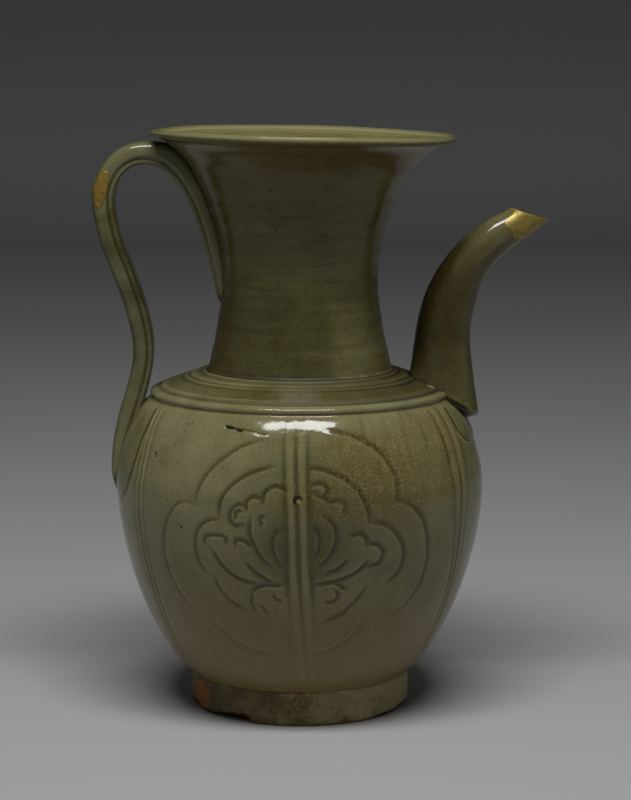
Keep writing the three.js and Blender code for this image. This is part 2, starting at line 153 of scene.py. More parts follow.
# Outlines, as in the solids: radius and height
flare_end = (LIP_R - 0.55 * LIP_THICK, LIP_Z - 1.4)
body_lower = bezier([(FOOT_R, FOOT_TOP), (FOOT_R + 15.7, FOOT_TOP + 12.6),
                     (BELLY_R, BELLY_Z - 27.7), (BELLY_R, BELLY_Z)], 300)
body_upper = catmull([(BELLY_R, BELLY_Z), (75.9, 100.5), (73.9, 108.8), (71.9, 115), (69.9, 119.5),
                      (67.9, 123.3), (66.2, 126), (65.47, 127), (64.45, 128.3), (63.38, 129.5), (62.5, 130.3),
                      (RING_R - 0.4, RING_Z - 1.4)], 400)
neck_lower = bezier([(SEAT_R, SEAT_Z), (SEAT_R - 2.1, SEAT_Z + 9.5),
                     (WAIST_R, WAIST_Z - 10.3), (WAIST_R, WAIST_Z)], 200)
neck_upper = bezier([(WAIST_R, WAIST_Z), (WAIST_R, WAIST_Z + 18),
                     (flare_end[0] - 19.8, flare_end[1] - 4), flare_end], 300)
body_wall = np.vstack([body_lower, body_upper[1:]])
neck_wall = np.vstack([neck_lower, neck_upper[1:]])


def radius_at(outline, z):
    return np.interp(z, outline[:, 1], outline[:, 0])


def surface_at(outline, z):
    """A point on the outline at a height, and the outward normal there."""
    r = radius_at(outline, z)
    slope = radius_at(outline, z + 0.5) - radius_at(outline, z - 0.5)
    normal = np.array([1, -slope]) / math.hypot(1, slope)
    return np.array([r, z]), normal


def wavy(x, y, scale, seed, octaves=3):
    """Smooth noise about 0, made of a few plane waves."""
    draw = np.random.default_rng(seed)
    total = 0
    for octave in range(octaves):
        for _ in range(5):
            angle = draw.uniform(0, 2 * np.pi)
            turn = draw.uniform(0, 2 * np.pi)
            k = 2 * np.pi * draw.uniform(0.7, 1.3) * 2 ** octave / scale
            total = total + np.sin(k * (x * math.cos(angle) + y * math.sin(angle)) + turn) / 2 ** octave
    return total / 5


def tube_faces(rows, columns, ring=False):
    """Quads between rings of vertices stored one after another; ring also joins the last to the first."""
    grid = np.arange(rows * columns).reshape(rows, columns)
    grid = np.vstack([grid, grid[:1]]) if ring else grid
    after = np.roll(grid, -1, axis=1)
    return np.stack([grid[:-1], after[:-1], after[1:], grid[1:]], axis=-1).reshape(-1, 4)


def full_turn(columns):
    return np.linspace(-math.pi, math.pi, columns, endpoint=False)


def lathe_grid(outline, angle):
    """Azimuth, radius and height of each point where an outline is turned through the angles."""
    phi = np.tile(angle, len(outline))
    return phi, np.repeat(outline[:, 0], len(angle)), np.repeat(outline[:, 1], len(angle))


def turned(radius, phi, z):
    """Points in space from azimuths, radii and heights."""
    return np.column_stack([radius * np.cos(phi), radius * np.sin(phi), z])


def place(points):
    """Points in the frame, in metres."""
    moved = np.array(points, float)
    moved[:, 0] += AXIS_X
    return moved * MM


def make_piece(name, points, faces, material, replaced, slot, **values):
    """A mesh piece with smooth shading that stands for a node of the frame. Values are given for each
    point, and are 0 for any point past their end."""
    mesh = bpy.data.meshes.new(name)
    mesh.from_pydata(place(points).tolist(), [], [list(map(int, f)) for f in faces])
    mesh.update()
    for label in ("relief", "tone", "patch", "matt"):
        numbers = np.zeros(len(points), np.float32)
        given = values.get(label, [])
        numbers[:len(given)] = given
        mesh.attributes.new(label, "FLOAT", "POINT").data.foreach_set("value", numbers)
    mesh.shade_smooth()
    mesh.materials.append(material)
    piece = bpy.data.objects.new(name, mesh)
    bpy.context.scene.collection.objects.link(piece)
    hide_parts(replaced)
    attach(piece, "root")


def fan(ring, middle, flip):
    """Triangles that close a ring of vertices onto a middle vertex."""
    after = np.roll(ring, -1)
    pairs = np.stack([after, ring] if flip else [ring, after], axis=-1)
    return [(a, b, middle) for a, b in pairs]


def closed_tube(points, columns, first_end, last_end):
    """Rings of points joined to a tube, and closed at both ends onto a middle point."""
    count = len(points)
    ring = np.arange(columns)
    faces = tube_faces(count // columns, columns).tolist()
    faces += fan(ring, count, True)
    faces += fan(count - columns + ring, count + 1, False)
    return np.vstack([points, first_end, last_end]), faces


# Materials

def colour(hexadecimal):
    """Linear RGBA of an sRGB colour written as RRGGBB."""
    parts = [int(hexadecimal[i:i + 2], 16) / 255 for i in (0, 2, 4)]
    return [p / 12.92 if p <= 0.04045 else ((p + 0.055) / 1.055) ** 2.4 for p in parts] + [1]


class Shader:
    """Short forms for the nodes that every glaze uses. The tint is the colour built up so far."""

    def __init__(self, name):
        self.material = bpy.data.materials.new(name)
        self.material.use_nodes = True
        self.tree = self.material.node_tree
        self.tree.nodes.clear()
        out = self.tree.nodes.new("ShaderNodeOutputMaterial")
        self.bsdf = self.tree.nodes.new("ShaderNodeBsdfPrincipled")
        self.link(self.bsdf.outputs[0], out.inputs["Surface"])
        self.where = self.made("TexCoord", {}, "Object")

    def link(self, source, target):
        self.tree.links.new(source, target)

    def put(self, value, target):
        """Links a socket, or sets a plain value."""
        if isinstance(value, bpy.types.NodeSocket):
            self.link(value, target)
        else:
            target.default_value = value

    def made(self, kind, inputs, output, **settings):
        """An output of a new node, whose inputs are given by name or number."""
        node = self.tree.nodes.new("ShaderNode" + kind)
        for key, value in settings.items():
            setattr(node, key, value)
        for key, value in inputs.items():
            self.put(value, node.inputs[key])
        return node.outputs[output]

    def surface(self, **inputs):
        """Sets or links inputs of the surface, with _ for each space in their names."""
        for key, value in inputs.items():
            self.put(value, self.bsdf.inputs[key.replace("_", " ")])

    def noise(self, size_mm, detail=3, rough=0.5, stretch=(1, 1, 1), distort=0):
        scale = [s * 1000 / size_mm for s in stretch]
        vector = self.made("Mapping", {"Vector": self.where, "Scale": scale}, 0)
        return self.made("TexNoise", {"Scale": 1, "Detail": detail, "Roughness": rough,
                                      "Distortion": distort, "Vector": vector}, "Fac")

    def cells(self, size_mm, feature="F1", warp=0.0):
        """Distance inside cells; their walls waver where there is a warp."""
        vector = self.made("Mapping", {"Scale": [1000 / size_mm] * 3, "Vector": self.where}, 0)
        if warp:
            bend = self.made("TexNoise", {"Scale": 1.7, "Vector": vector}, "Color")
            moved = self.made("VectorMath", {0: vector, 1: bend}, 0, operation="ADD")
            vector = self.made("Mix", {"Factor": warp, "A": vector, "B": moved}, "Result", data_type="VECTOR")
        return self.made("TexVoronoi", {"Scale": 1, "Randomness": 1, "Vector": vector}, "Distance",
                         feature=feature)

    def ramp(self, value, low, high, start=0.0, end=1.0):
        return self.made("MapRange", {"Value": value, "From Min": low, "From Max": high, "To Min": start,
                                      "To Max": end}, "Result", interpolation_type="SMOOTHSTEP")

    def math(self, operation, a, b=0.0):
        return self.made("Math", {0: a, 1: b}, 0, operation=operation)

    def mix(self, factor, a, b, blend="MIX"):
        return self.made("Mix", {"Factor": factor, "A": a, "B": b}, "Result", data_type="RGBA",
                         blend_type=blend)

    def coat(self, value, low, high, shade, share=1.0):
        """Lays a colour over the tint, up to a share, where the value goes from low to high."""
        self.tint = self.mix(self.ramp(value, low, high, 0, share), self.tint, colour(shade))

    def dab(self, share, shade):
        """Lays a colour over the tint by a share that may vary from place to place."""
        self.tint = self.mix(share, self.tint, colour(shade))

    def near(self, x, y, z, reach):
        """1 at a place given in millimetres about the jug's axis, 0 beyond the reach."""
        spot = ((x + AXIS_X) * MM, y * MM, z * MM)
        away = self.made("VectorMath", {0: self.where, 1: spot}, "Value", operation="DISTANCE")
        return self.ramp(away, reach * MM, 0.4 * reach * MM)

    def attribute(self, name):
        return self.made("Attribute", {}, "Fac", attribute_name=name)

    def axis(self, letter):
        return self.made("SeparateXYZ", {0: self.where}, letter)

    def bump(self, height, depth_mm, before=None):
        inputs = {"Strength": 1, "Distance": depth_mm * MM, "Height": height}
        if before is not None:
            inputs["Normal"] = before
        return self.made("Bump", inputs, "Normal")


def glaze(name, base, thin, deep, brown, warm, cool="5d6345", pool_and_shade="a7a080", rough=0.1, shine=0.4,
          throwing=0.0, places=()):
    """Olive celadon: deep where it pools and where shade is painted, thin and paler on edges and where light
    is painted, warm and crackled in patches. Places are spots of their own, in millimetres about the jug's
    axis, each with a reach, a share and a colour."""
    s = Shader(name)
    mottle = s.noise(42, detail=3, rough=0.5, distort=0.5)
    cloud = s.noise(13, detail=4, rough=0.6)
    runs = s.noise(17, detail=3, stretch=(1, 1, 0.2))
    patch = s.attribute("patch")
    s.tint = colour(base)
    s.coat(mottle, 0.3, 0.72, thin, 0.5)
    s.coat(cloud, 0.45, 0.75, deep, 0.4)
    s.coat(runs, 0.52, 0.8, thin, 0.3)
    s.coat(s.noise(27, detail=3, rough=0.55), 0.52, 0.7, cool, 0.4)
    s.dab(s.math("MULTIPLY", patch, s.ramp(s.noise(7, detail=4, rough=0.6), 0.2, 0.55, 0.55, 1)), warm)
    s.dab(s.math("MULTIPLY", s.ramp(s.axis("Z"), 0.095, 0.012), 0.6), brown)
    s.coat(s.noise(5.5, detail=5, rough=0.65), 0.5, 0.74, brown, 0.5)
    grain = s.noise(0.8, detail=4, rough=0.7)
    s.coat(grain, 0.42, 0.7, deep, 0.4)
    s.coat(grain, 0.5, 0.3, thin, 0.35)
    lines = s.noise(2.6, detail=4, rough=0.6, stretch=(0.08, 0.08, 1))
    s.coat(lines, 0.5, 0.7, thin, throwing)
    s.coat(lines, 0.5, 0.3, deep, throwing)
    relief = s.attribute("relief")
    # Paler where the relief value is high and darker where it is low. This covers thin and pooled glaze, and
    # also painted light and painted shade. The near-black is painted shadow in crevices, under edges and in
    # openings, and also the dark of pits.
    s.coat(relief, 0.05, 1.0, thin, 0.75)
    s.tint = s.mix(s.ramp(relief, -0.02, -1.05), s.tint, s.mix(1.0, s.tint, colour(pool_and_shade), "MULTIPLY"))
    s.coat(relief, 1.2, 2.0, "b5ab86")
    s.coat(relief, -1.0, -2.2, "17120a")
    s.dab(s.attribute("tone"), brown)
    threads = s.ramp(s.cells(1.9, feature="DISTANCE_TO_EDGE", warp=0.7), 0.11, 0.0)
    threads = s.math("MULTIPLY", threads, s.ramp(s.noise(5, detail=3), 0.3, 0.62, 0.2, 1))
    spread = s.math("ADD", s.math("MULTIPLY", patch, 0.28), 0.055)
    s.dab(s.math("MULTIPLY", threads, spread), "9c946c")
    holes = s.ramp(s.cells(6.5), 0.05, 0.025)
    pits = s.math("MULTIPLY", holes, s.ramp(s.noise(17, detail=1), 0.54, 0.58))
    s.dab(s.math("MULTIPLY", pits, 0.8), "251f10")
    specks = s.math("MULTIPLY", s.ramp(s.cells(1.7), 0.16, 0.05), s.ramp(s.noise(8, detail=2), 0.44, 0.6))
    s.dab(s.math("MULTIPLY", specks, 0.5), "3b3119")
    for x, y, z, reach, share, shade in places:
        s.dab(s.math("MULTIPLY", s.near(x, y, z, reach), share), shade)
    smear = s.noise(12, detail=4, rough=0.6)
    gloss = s.ramp(smear, 0.35, 0.8, rough, rough + 0.07)
    gloss = s.math("ADD", gloss, s.math("MULTIPLY", s.attribute("matt"), 0.4))
    normal = s.bump(s.noise(9, detail=2, rough=0.4), 0.10)
    normal = s.bump(s.noise(2.6, detail=2, rough=0.5), 0.012, normal)
    normal = s.bump(lines, 0.15 * throwing, normal)
    normal = s.bump(s.math("MULTIPLY", pits, -1.0), 0.25, normal)
    s.surface(Base_Color=s.tint, Roughness=gloss, Normal=normal, IOR=1.5, Specular_IOR_Level=shine)
    return s.material


def lacquer(name, plain, rubbed, bright, dark):
    """Gold powder on lacquer: satin, warm, brushed on by hand and rubbed through here and there."""
    s = Shader(name)
    worn = s.noise(2.4, detail=4, rough=0.6)
    fine = s.noise(0.5, detail=3, rough=0.6)
    s.tint = colour(plain)
    s.coat(worn, 0.35, 0.7, rubbed)
    s.coat(fine, 0.55, 0.8, bright, 0.5)
    s.coat(s.noise(4.5, detail=4, rough=0.7), 0.6, 0.75, dark, 0.5)
    # Near-black where painted shade is given: inside the spout's mouth
    s.coat(s.attribute("relief"), -1.0, -2.2, "17120a")
    gloss = s.ramp(worn, 0.3, 0.8, 0.34, 0.52)
    normal = s.bump(s.noise(1.8, detail=3), 0.08)
    s.surface(Base_Color=s.tint, Metallic=0.55, Roughness=gloss, Normal=s.bump(fine, 0.02, normal))
    return s.material


def foot_glaze(name):
    """Thin rough glaze over the foot, grainy with grit, and bare orange clay where it is worn or broken."""
    s = Shader(name)
    mottle = s.noise(14, detail=5, rough=0.65)
    s.tint = colour("5e4e2b")
    s.coat(mottle, 0.35, 0.68, "94855a")
    s.coat(s.noise(4, detail=5, rough=0.7), 0.48, 0.72, "57482a", 0.6)
    s.coat(s.noise(22, detail=2), 0.5, 0.7, "79764a", 0.45)
    grit = s.noise(0.9, detail=4, rough=0.75)
    s.coat(grit, 0.52, 0.72, "b9aa7c", 0.65)
    s.coat(grit, 0.46, 0.3, "3c2f17", 0.75)
    side = s.attribute("patch")
    s.dab(s.ramp(side, 0, 0.6, 0.6, 0), "3d3017")
    s.coat(side, 0.55, 1, "b3a272", 0.5)
    bare = s.attribute("tone")
    clay = s.mix(s.ramp(s.noise(1.6, detail=4, rough=0.7), 0.3, 0.7), colour("a97434"), colour("6f4c24"))
    s.tint = s.mix(s.ramp(bare, 0.1, 0.6), s.tint, clay)
    s.coat(s.attribute("relief"), -0.05, -1.0, "1f180b")
    gloss = s.ramp(bare, 0.1, 0.6, 0.42, 0.8)
    normal = s.bump(s.noise(3.6, detail=5, rough=0.65), 0.9)
    normal = s.bump(s.noise(0.8, detail=3, rough=0.7), 0.1, normal)
    s.surface(Base_Color=s.tint, Roughness=gloss, Normal=normal, IOR=1.5, Specular_IOR_Level=0.3)
    return s.material


# Pits on the neck: degrees round it, height, reach
NECK_PITS = [(-106.5, 218, 1.0), (-91, 213.1, 0.7), (-63, 205, 0.9), (-111.5, 205.1, 0.6), (-106, 202, 0.8),
             (-97, 210.5, 0.5), (62, 210, 1.0), (101, 196, 0.8), (148, 188, 0.7)]
BODY_GLAZE = glaze("body_glaze", base="726f4b", thin="888463", deep="504c30", brown="78673a", warm="6c6138",
                   pool_and_shade="aba790", places=[(53.5, -14.5, 134.5, 3, 0.5, "d0ccb4")])
NECK_GLAZE = glaze("neck_glaze", base="5e5b36", thin="76734d", deep="403e23", brown="543f1c", warm="6b6036",
                   pool_and_shade="9d9c93", rough=0.14, shine=0.22, throwing=0.34,
                   places=[(radius_at(neck_wall, z) * math.cos(math.radians(a)),
                            radius_at(neck_wall, z) * math.sin(math.radians(a)), z, reach, 0.55, "261e10")
                           for a, z, reach in NECK_PITS])
HANDLE_GLAZE = glaze("handle_glaze", base="605e41", thin="787553", deep="43402a", brown="594d2d",
                     warm="6a6040",
                     places=[(-76.1, -6, 95.8, 2.6, 0.85, "2a2010"), (-77, -6, 99, 1.6, 0.5, "5a4420")])
SPOUT_GLAZE = glaze("spout_glaze", base="545030", thin="6d6844", deep="3a371f", brown="42361a", warm="5f5631",
                    places=[(55.2, -12.3, 136.4, 1.1, 0.9, "d9d6c6"),
                            (57.0, -12.6, 135.2, 0.9, 0.9, "cfcbb5"),
                            (58.6, -12.8, 134.6, 1.2, 0.9, "d9d6c6"),
                            (56.3, -12.5, 137.4, 0.8, 0.7, "c5c0a8")])
GOLD = lacquer("gold_lacquer", "a0853c", "7f662b", "bd9f52", "574420")
TIP_GOLD = lacquer("tip_lacquer", "98853f", "7c6c36", "bda758", "4e4222")
FOOT_GLAZE = foot_glaze("foot_glaze")


# Carving

CUT_STEP = 0.5
FLOWER = (0, 72)

# The medallion on the front, drawn in millimetres on the picture plane: x from the jug's axis, then
# height. Each stroke is one cut of the carving knife.
OUTER_FRAME = [
    [(9.5, 126), (22, 122.5), (32, 116), (37.5, 107), (38.5, 101), (38, 97.5)],
    [(38, 97), (41, 97), (46, 93), (49.5, 87), (51, 76), (50, 68), (47, 60), (40.5, 52), (33.5, 48.5)],
    [(26, 48.5), (20, 41), (12, 36.5), (5, 34.5)],
    [(-14.5, 122), (-23, 119), (-30.5, 114), (-37, 107.5), (-40.5, 101), (-41.5, 96)],
    [(-42, 95), (-46, 96), (-50.5, 93), (-54, 84), (-54.5, 75), (-52.5, 66), (-47.5, 56.5), (-41.5, 50)],
    [(-36, 48), (-29, 41), (-20, 36), (-11, 34)],
]
INNER_FRAME = [
    [(-9.5, 112.5), (-18.5, 109.5), (-26.5, 104.5), (-31, 98.5), (-32, 91.5)],
    [(-31.5, 90.5), (-35, 90), (-40, 86.5), (-41.5, 79.5), (-40, 72), (-36.5, 67.5)],
    [(-34, 66.5), (-32, 62), (-27.5, 57), (-21.5, 53)],
    [(0.5, 111.5), (8, 111), (17.5, 107), (24, 100.5), (27, 93.5), (27, 90.5)],
    [(28, 89.5), (33, 88.5), (38, 84), (41, 76.5), (39.5, 69), (34, 63.5)],
    [(26, 63), (22.5, 58), (17, 53), (9.5, 49.5)],
]
PETALS = [
    [(-5, 103), (-9.5, 104.5), (-13.5, 102.5), (-14.5, 98.5)],
    [(-15, 99.5), (-18.5, 100.2), (-21, 98), (-20.8, 95.5)],
    [(-21, 96), (-24, 97), (-27, 94.5), (-27.5, 91), (-25.5, 89), (-22.5, 89.5)],
    [(-22.5, 94.5), (-25, 94), (-25.3, 92)],
    [(4, 105), (8.5, 105.5), (10.5, 103), (8.5, 101)],
    [(5, 102.5), (7.5, 101), (10, 99.5), (11.5, 98.5)],
    [(11.5, 98.3), (15, 98.8), (17.5, 97.3), (17, 94.5)],
    [(-19.5, 91.5), (-19.7, 86), (-17.5, 80), (-14, 74.5), (-11.5, 72.5)],
    [(-7, 87), (-9.5, 86), (-10.7, 81), (-9.5, 76), (-7.5, 72.5)],
    [(-14, 93), (-15.5, 92), (-15, 90)],
    [(4, 89.5), (6.8, 86.5), (7.6, 81), (6, 76)],
    [(9.5, 93), (13, 89.5), (14.2, 84), (12, 77), (7, 72)],
    [(-37.5, 79.5), (-37.5, 82.5), (-34.5, 83.8), (-30, 83.2), (-29.5, 80.5)],
    [(-35.5, 79), (-30.5, 71.5), (-24.5, 67), (-17, 64.8)],
    [(-25.5, 80), (-25, 82.5), (-21.5, 82), (-20, 80.5)],
    [(-21, 73.5), (-17.5, 69.8), (-11.5, 66)],
    [(20, 84.5), (24, 85), (26, 82.5), (26, 80.8)],
    [(26.5, 80.8), (30.5, 80), (32.7, 76.8), (31, 73), (27.5, 72)],
    [(27, 74), (22, 69.5), (15.5, 66.8), (6.5, 65.3)],
    [(18.5, 74.5), (14.5, 71.3), (11, 70)],
    [(-19.5, 61), (-15, 63.8), (-7.5, 64)],
    [(-18.8, 61), (-19, 57), (-17.5, 52.5)],
    [(-15.5, 56), (-13, 52.5)],
    [(-10, 61), (-9.7, 58.8), (-7.8, 58.2)],
    [(8, 64.3), (13.5, 65), (17.8, 62)],
    [(13.5, 62.3), (15, 60), (13.5, 57.8), (10.5, 57.5)],
    [(20.5, 56), (16, 51.5), (9, 48.5)],
]


def stroke_depth(x, z, points, width):
    """One cut of a slanted knife: its depth, and the thin raised edge on its hollow side, from 0 to 1."""
    line = resample(catmull(points, 12 * len(points)), CUT_STEP)
    along = np.linspace(0, 1, len(line))
    weight = np.clip(np.minimum(along, 1 - along) * 5 + 0.35, 0, 1)
    chord = (line[0] + line[-1]) / 2 - line[len(line) // 2]
    if math.hypot(*chord) < 0.6:
        chord = np.array(FLOWER) - line[len(line) // 2]
    run = line[len(line) // 2 + 1] - line[len(line) // 2 - 1]
    hollow = math.copysign(1, run[0] * chord[1] - run[1] * chord[0])
    reach = 3.2 * width
    low = line.min(axis=0) - reach
    high = line.max(axis=0) + reach
    near = (x > low[0]) & (x < high[0]) & (z > low[1]) & (z < high[1])
    cut, edge = np.zeros_like(x), np.zeros_like(x)
    px, pz = x[near], z[near]
    best = np.full(px.shape, 1e9)
    side = np.zeros(px.shape)
    best_weight = np.zeros(px.shape)
    for (ax, az), (bx, bz), w in zip(line[:-1], line[1:], weight):
        dx, dz = bx - ax, bz - az
        t = np.clip(((px - ax) * dx + (pz - az) * dz) / (dx * dx + dz * dz + 1e-9), 0, 1)
        distance = np.hypot(px - ax - t * dx, pz - az - t * dz)
        closer = distance < best
        best = np.where(closer, distance, best)
        side = np.where(closer, hollow * np.sign(dx * (pz - az) - dz * (px - ax)), side)
        best_weight = np.where(closer, w, best_weight)
    steep = side > 0
    slope = np.where(steep, 0.55, 1.25) * width
    cut[near] = best_weight * bell(best, 0, slope)
    edge[near] = best_weight * steep * bell(best, 1.25 * width, 0.6 * width)
    return cut, edge


def medallion(x, z):
    """Depth and edge of the whole carving at points given by their distance across and their height."""
    cut, edge, shade = np.zeros_like(x), np.zeros_like(x), np.zeros_like(x)
    for strokes, width, depth, dark in ((OUTER_FRAME, 1.0, 0.3, 0.72), (INNER_FRAME, 0.95, 0.3, 0.85),
                                        (PETALS, 0.9, 0.28, 1.0)):
        for points in strokes:
            line, lip = stroke_depth(x, z, points, width)
            cut = np.maximum(cut, depth * line)
            shade = np.maximum(shade, dark * line)
            edge = np.maximum(edge, lip)
    pool_and_shade = 0.34 * np.exp(-(((x + 1) / 17) ** 2 + ((z - 79) / 17) ** 2) ** 2)
    pool_and_shade = pool_and_shade + 0.3 * bell(x, -31, 7) * bell(z, 46, 8)
    return cut, edge * (1 - shade), shade + pool_and_shade * (1 - shade)


# Body

FRONT = -math.pi / 2
BACK = math.pi / 2
# Half the angle of the two panels that carry the carving
PANEL = math.radians(48)
# Ridges and grooves turned into the plate: radius, rise and half width
PLATE_LINES = [(SEAT_R + 1.4, 0.35, 0.6), (SEAT_R + 3.1, -0.2, 0.6), (SEAT_R + 6.3, 0.3, 1.0),
               (SEAT_R + 7.9, -0.1, 0.4), (SEAT_R + 9.0, 0.13, 0.6), (SEAT_R + 10.8, -0.1, 0.7),
               (RING_R - 5.8, 0.15, 0.8), (RING_R - 3.7, -0.32, 0.6)]


def body_columns():
    """Azimuths round the body, closer together where it is carved and at the ribs."""
    steps = 20000
    angle = np.linspace(-math.pi, math.pi, steps, endpoint=False)
    density = np.ones(steps)
    for middle, gap in ((FRONT, 0.42), (BACK, 0.6)):
        away = np.abs(turn_from(angle, middle))
        density = np.where(away < PANEL, 1 / gap, density)
    for rib in range(RIBS):
        away = np.abs(turn_from(angle, FRONT + rib * 2 * math.pi / RIBS))
        density = np.where(away < 10 / BELLY_R, np.maximum(density, 1 / 0.5), density)
    total = np.concatenate([[0], np.cumsum(density * (2 * math.pi / steps) * BELLY_R)])
    count = int(total[-1])
    edges = np.append(angle, math.pi)
    return np.interp(np.arange(count) * total[-1] / count, total, edges)


def body_relief(angle, z, radius):
    """Rise of the body's surface over its plain outline, and how thin or pooled the glaze is there."""
    rise = np.zeros_like(angle)
    shade = np.zeros_like(angle)
    fade = plateau(z, RIB_BOTTOM - 4, RIB_BOTTOM + 5, RIB_TOP, RIB_TOP + 2.5)
    fade = fade * (1 - 0.6 * smoothstep(z, 117, 126) * (np.cos(angle - FRONT) > 0.75))
    for rib in range(RIBS):
        leans, widths = RIB_LINES.get(rib, (RIB_LEAN, RIB_WIDTH))
        lean = np.interp(z, *np.transpose(leans))
        wide = np.interp(z, *np.transpose(widths))
        half = wide * RIDGE_PITCH / 2
        middle = FRONT + rib * 2 * math.pi / RIBS
        away = turn_from(angle, middle)
        d = away * radius - lean + 0.15 * wavy(z, z * 0 + 7 * rib, 45, 40 + rib, octaves=1)
        ridge = bell(np.abs(d), half, 1.3 * wide, 4)
        middle_cut = bell(d, 0, 0.95 * wide ** 0.5)
        side_cut = bell(np.abs(d), 2 * half - 0.1, 1.25)
        swell = bell(d, 0, 7.5)
        rise = rise + fade * (0.26 * ridge + 0.25 * swell - 0.3 * middle_cut - 0.2 * side_cut)
        shade = shade + fade * (0.4 * ridge - 0.66 * middle_cut - 0.5 * side_cut)
    for middle in (FRONT, BACK):
        away = turn_from(angle, middle)
        across = radius * np.sin(away)
        front = np.abs(away) < PANEL * 1.05
        cut, edge, dark = np.zeros_like(rise), np.zeros_like(rise), np.zeros_like(rise)
        cut[front], edge[front], dark[front] = medallion(across[front], z[front])
        off_rib = 1 - 0.9 * bell(away * radius, 0, 4.6, 8)
        rise = rise + (0.06 * edge - cut) * off_rib
        shade = shade + (0.3 * edge - dark) * off_rib
    return rise, shade


# Small pits seen on the front: distance across, height, size and depth
BODY_PITS = [(-47.4, 85.7, 0.55, 0.4), (-48.8, 86.5, 0.3, 0.2), (-58.2, 112.9, 0.5, 0.3),
             (-58.1, 111.8, 0.4, 0.25), (-45.3, 125.5, 0.35, 0.3), (-44.2, 125.7, 0.3, 0.25),
             (-43.0, 125.9, 0.28, 0.2), (-46.1, 122.8, 0.3, 0.2), (-53, 95.6, 0.3, 0.2),
             (30.5, 43.2, 0.5, 0.3), (36.3, 40.6, 0.35, 0.25), (37.8, 40.3, 0.35, 0.25),
             (48.5, 95, 0.35, 0.25), (-24, 63, 0.3, 0.2), (55, 74, 0.3, 0.2)]
LARGE_PIT = (-0.8, 99.3)
# The firing slit's line, from its open end
SLIT = [(-29.3, 126.0), (-26.9, 125.8), (-23.3, 124.9), (-20.5, 124.5), (-18.6, 124.1), (-16.4, 123.3),
        (-13.2, 123.3)]


def large_pit(across, z):
    """A pit on the rib, with painted shadow as a dark crescent open at its lower right round a pale bottom:
    rise and mark.
    """
    dx, dz = across - LARGE_PIT[0], z - LARGE_PIT[1]
    d = np.hypot(dx, dz)
    side = 0.5 + 0.5 * np.cos(np.arctan2(dz, dx) - math.radians(125))
    crescent = bell(d, 1.45, 0.5) * side ** 0.5
    bottom = bell(np.hypot(dx - 0.4, dz + 0.35), 0, 0.85)
    return -1.1 * bell(d, 0, 1.7, 6) * (0.35 + 0.65 * side), 1.7 * bottom - 2.8 * crescent


def firing_slit(across, z):
    """A slit that starts open and dark, with painted shade inside it, and goes on as a raised edge with a
    painted highlight along its crest and a painted shadow under it: rise and mark.
    """
    run = resample(catmull(SLIT, 60), 0.25)
    along = np.linspace(0, 1, len(run))
    dx = across[:, None] - run[None, :, 0]
    dz = z[:, None] - run[None, :, 1]
    d = np.hypot(dx, dz)
    nearest = d.argmin(axis=1)
    t = along[nearest]
    d = d.min(axis=1)
    above = dz[np.arange(len(nearest)), nearest]
    gape = 0.42 + 0.1 * np.sin(t * 23)
    slit = smoothstep(t, 0.52, 0.34) * bell(d, 0, gape, 4)
    edge = smoothstep(t, 0.3, 0.42) * (1 - 0.7 * smoothstep(t, 0.97, 1.0))
    crest = edge * bell(above, -0.1, 0.45) * bell(d, 0, 0.9, 4)
    under = edge * bell(above, 0.75, 0.4) * bell(d, 0, 1.4, 4)
    return 0.28 * crest - 0.8 * slit - 0.25 * under, 1.3 * crest - 2.8 * slit - 1.3 * under


def body_flaws(angle, z, radius):
    """Pits and a firing slit, as seen on the front: rise of the surface, and where it is dark or pale."""
    across = radius * np.sin(angle - FRONT)
    front = np.cos(angle - FRONT) > 0
    rise, mark = large_pit(across, z)
    for px, pz, size, depth in BODY_PITS:
        d = np.hypot(across - px, z - pz)
        rise -= depth * bell(d, 0, size, 4)
        mark -= 2.2 * bell(d, 0, 0.8 * size, 4)
    rise, mark = rise * front, mark * front
    near = (across > -31) & (across < -11) & (z > 121) & (z < 128) & front
    lift, shade = firing_slit(across[near], z[near])
    rise[near] += lift
    mark[near] += shade
    return rise, mark


def luting_mound(angle, z, middle, half, top, bottom, height):
    """Clay smoothed on where handle or spout joins the belly: a low lobe with a scraped edge."""
    away = np.abs(turn_from(angle, middle)) / math.radians(half)
    down = np.clip((top - z) / (top - bottom), 0, None)
    reach = (away ** 3.2 + down ** 3.2) ** (1 / 3.2)
    fade = 1 - smoothstep(z, 126.5, 130)
    rise = height * (1 - smoothstep(reach, 0.72, 1.0)) * fade
    line = bell(reach, 1.0, 0.022)
    groove = bell(reach, 0.95, 0.03)
    inside = (1 - smoothstep(reach, 0.86, 0.97)) * fade
    return rise - 0.12 * groove * fade, (1.3 * line - 1.2 * groove) * fade - 0.3 * inside


def contact(points, skin, wide):
    """1 where points lie against the skin of another piece, fading over the width given."""
    tree = KDTree(len(skin))
    for i, spot in enumerate(skin):
        tree.insert(spot, i)
    tree.balance()
    away = np.array([tree.find(p)[2] for p in points])
    return bell(away, 0, wide)


# Warm patches: degrees round the body, height, half width, half height and strength
WARM_PATCHES = [(-63, 110, 34, 20, 1.0), (-36, 112, 24, 22, 0.9), (-80, 100, 20, 14, 0.6),
                (-125, 60, 26, 22, 0.3), (35, 95, 30, 26, 0.7), (120, 60, 30, 24, 0.5),
                (-103, 46, 11, 9, 0.7), (-70, 40, 9, 6, 0.5), (160, 108, 24, 14, 0.6),
                (-150, 40, 24, 14, 0.3)]


def warm_patches(angle, z):
    """Where the glaze fired warm and crackled: upper right of the front panel, and a few more round it."""
    total = np.zeros_like(angle)
    for degrees, height, wide, tall, share in WARM_PATCHES:
        away = (np.degrees(angle) - degrees + 180) % 360 - 180
        ragged = 0.25 * wavy(angle * BELLY_R, z, 22, 83)
        distance = np.hypot(away * BELLY_R * math.pi / 180 / wide, (z - height) / tall)
        total = np.maximum(total, share * smoothstep(distance + ragged, 1.35, 0.35))
    return total


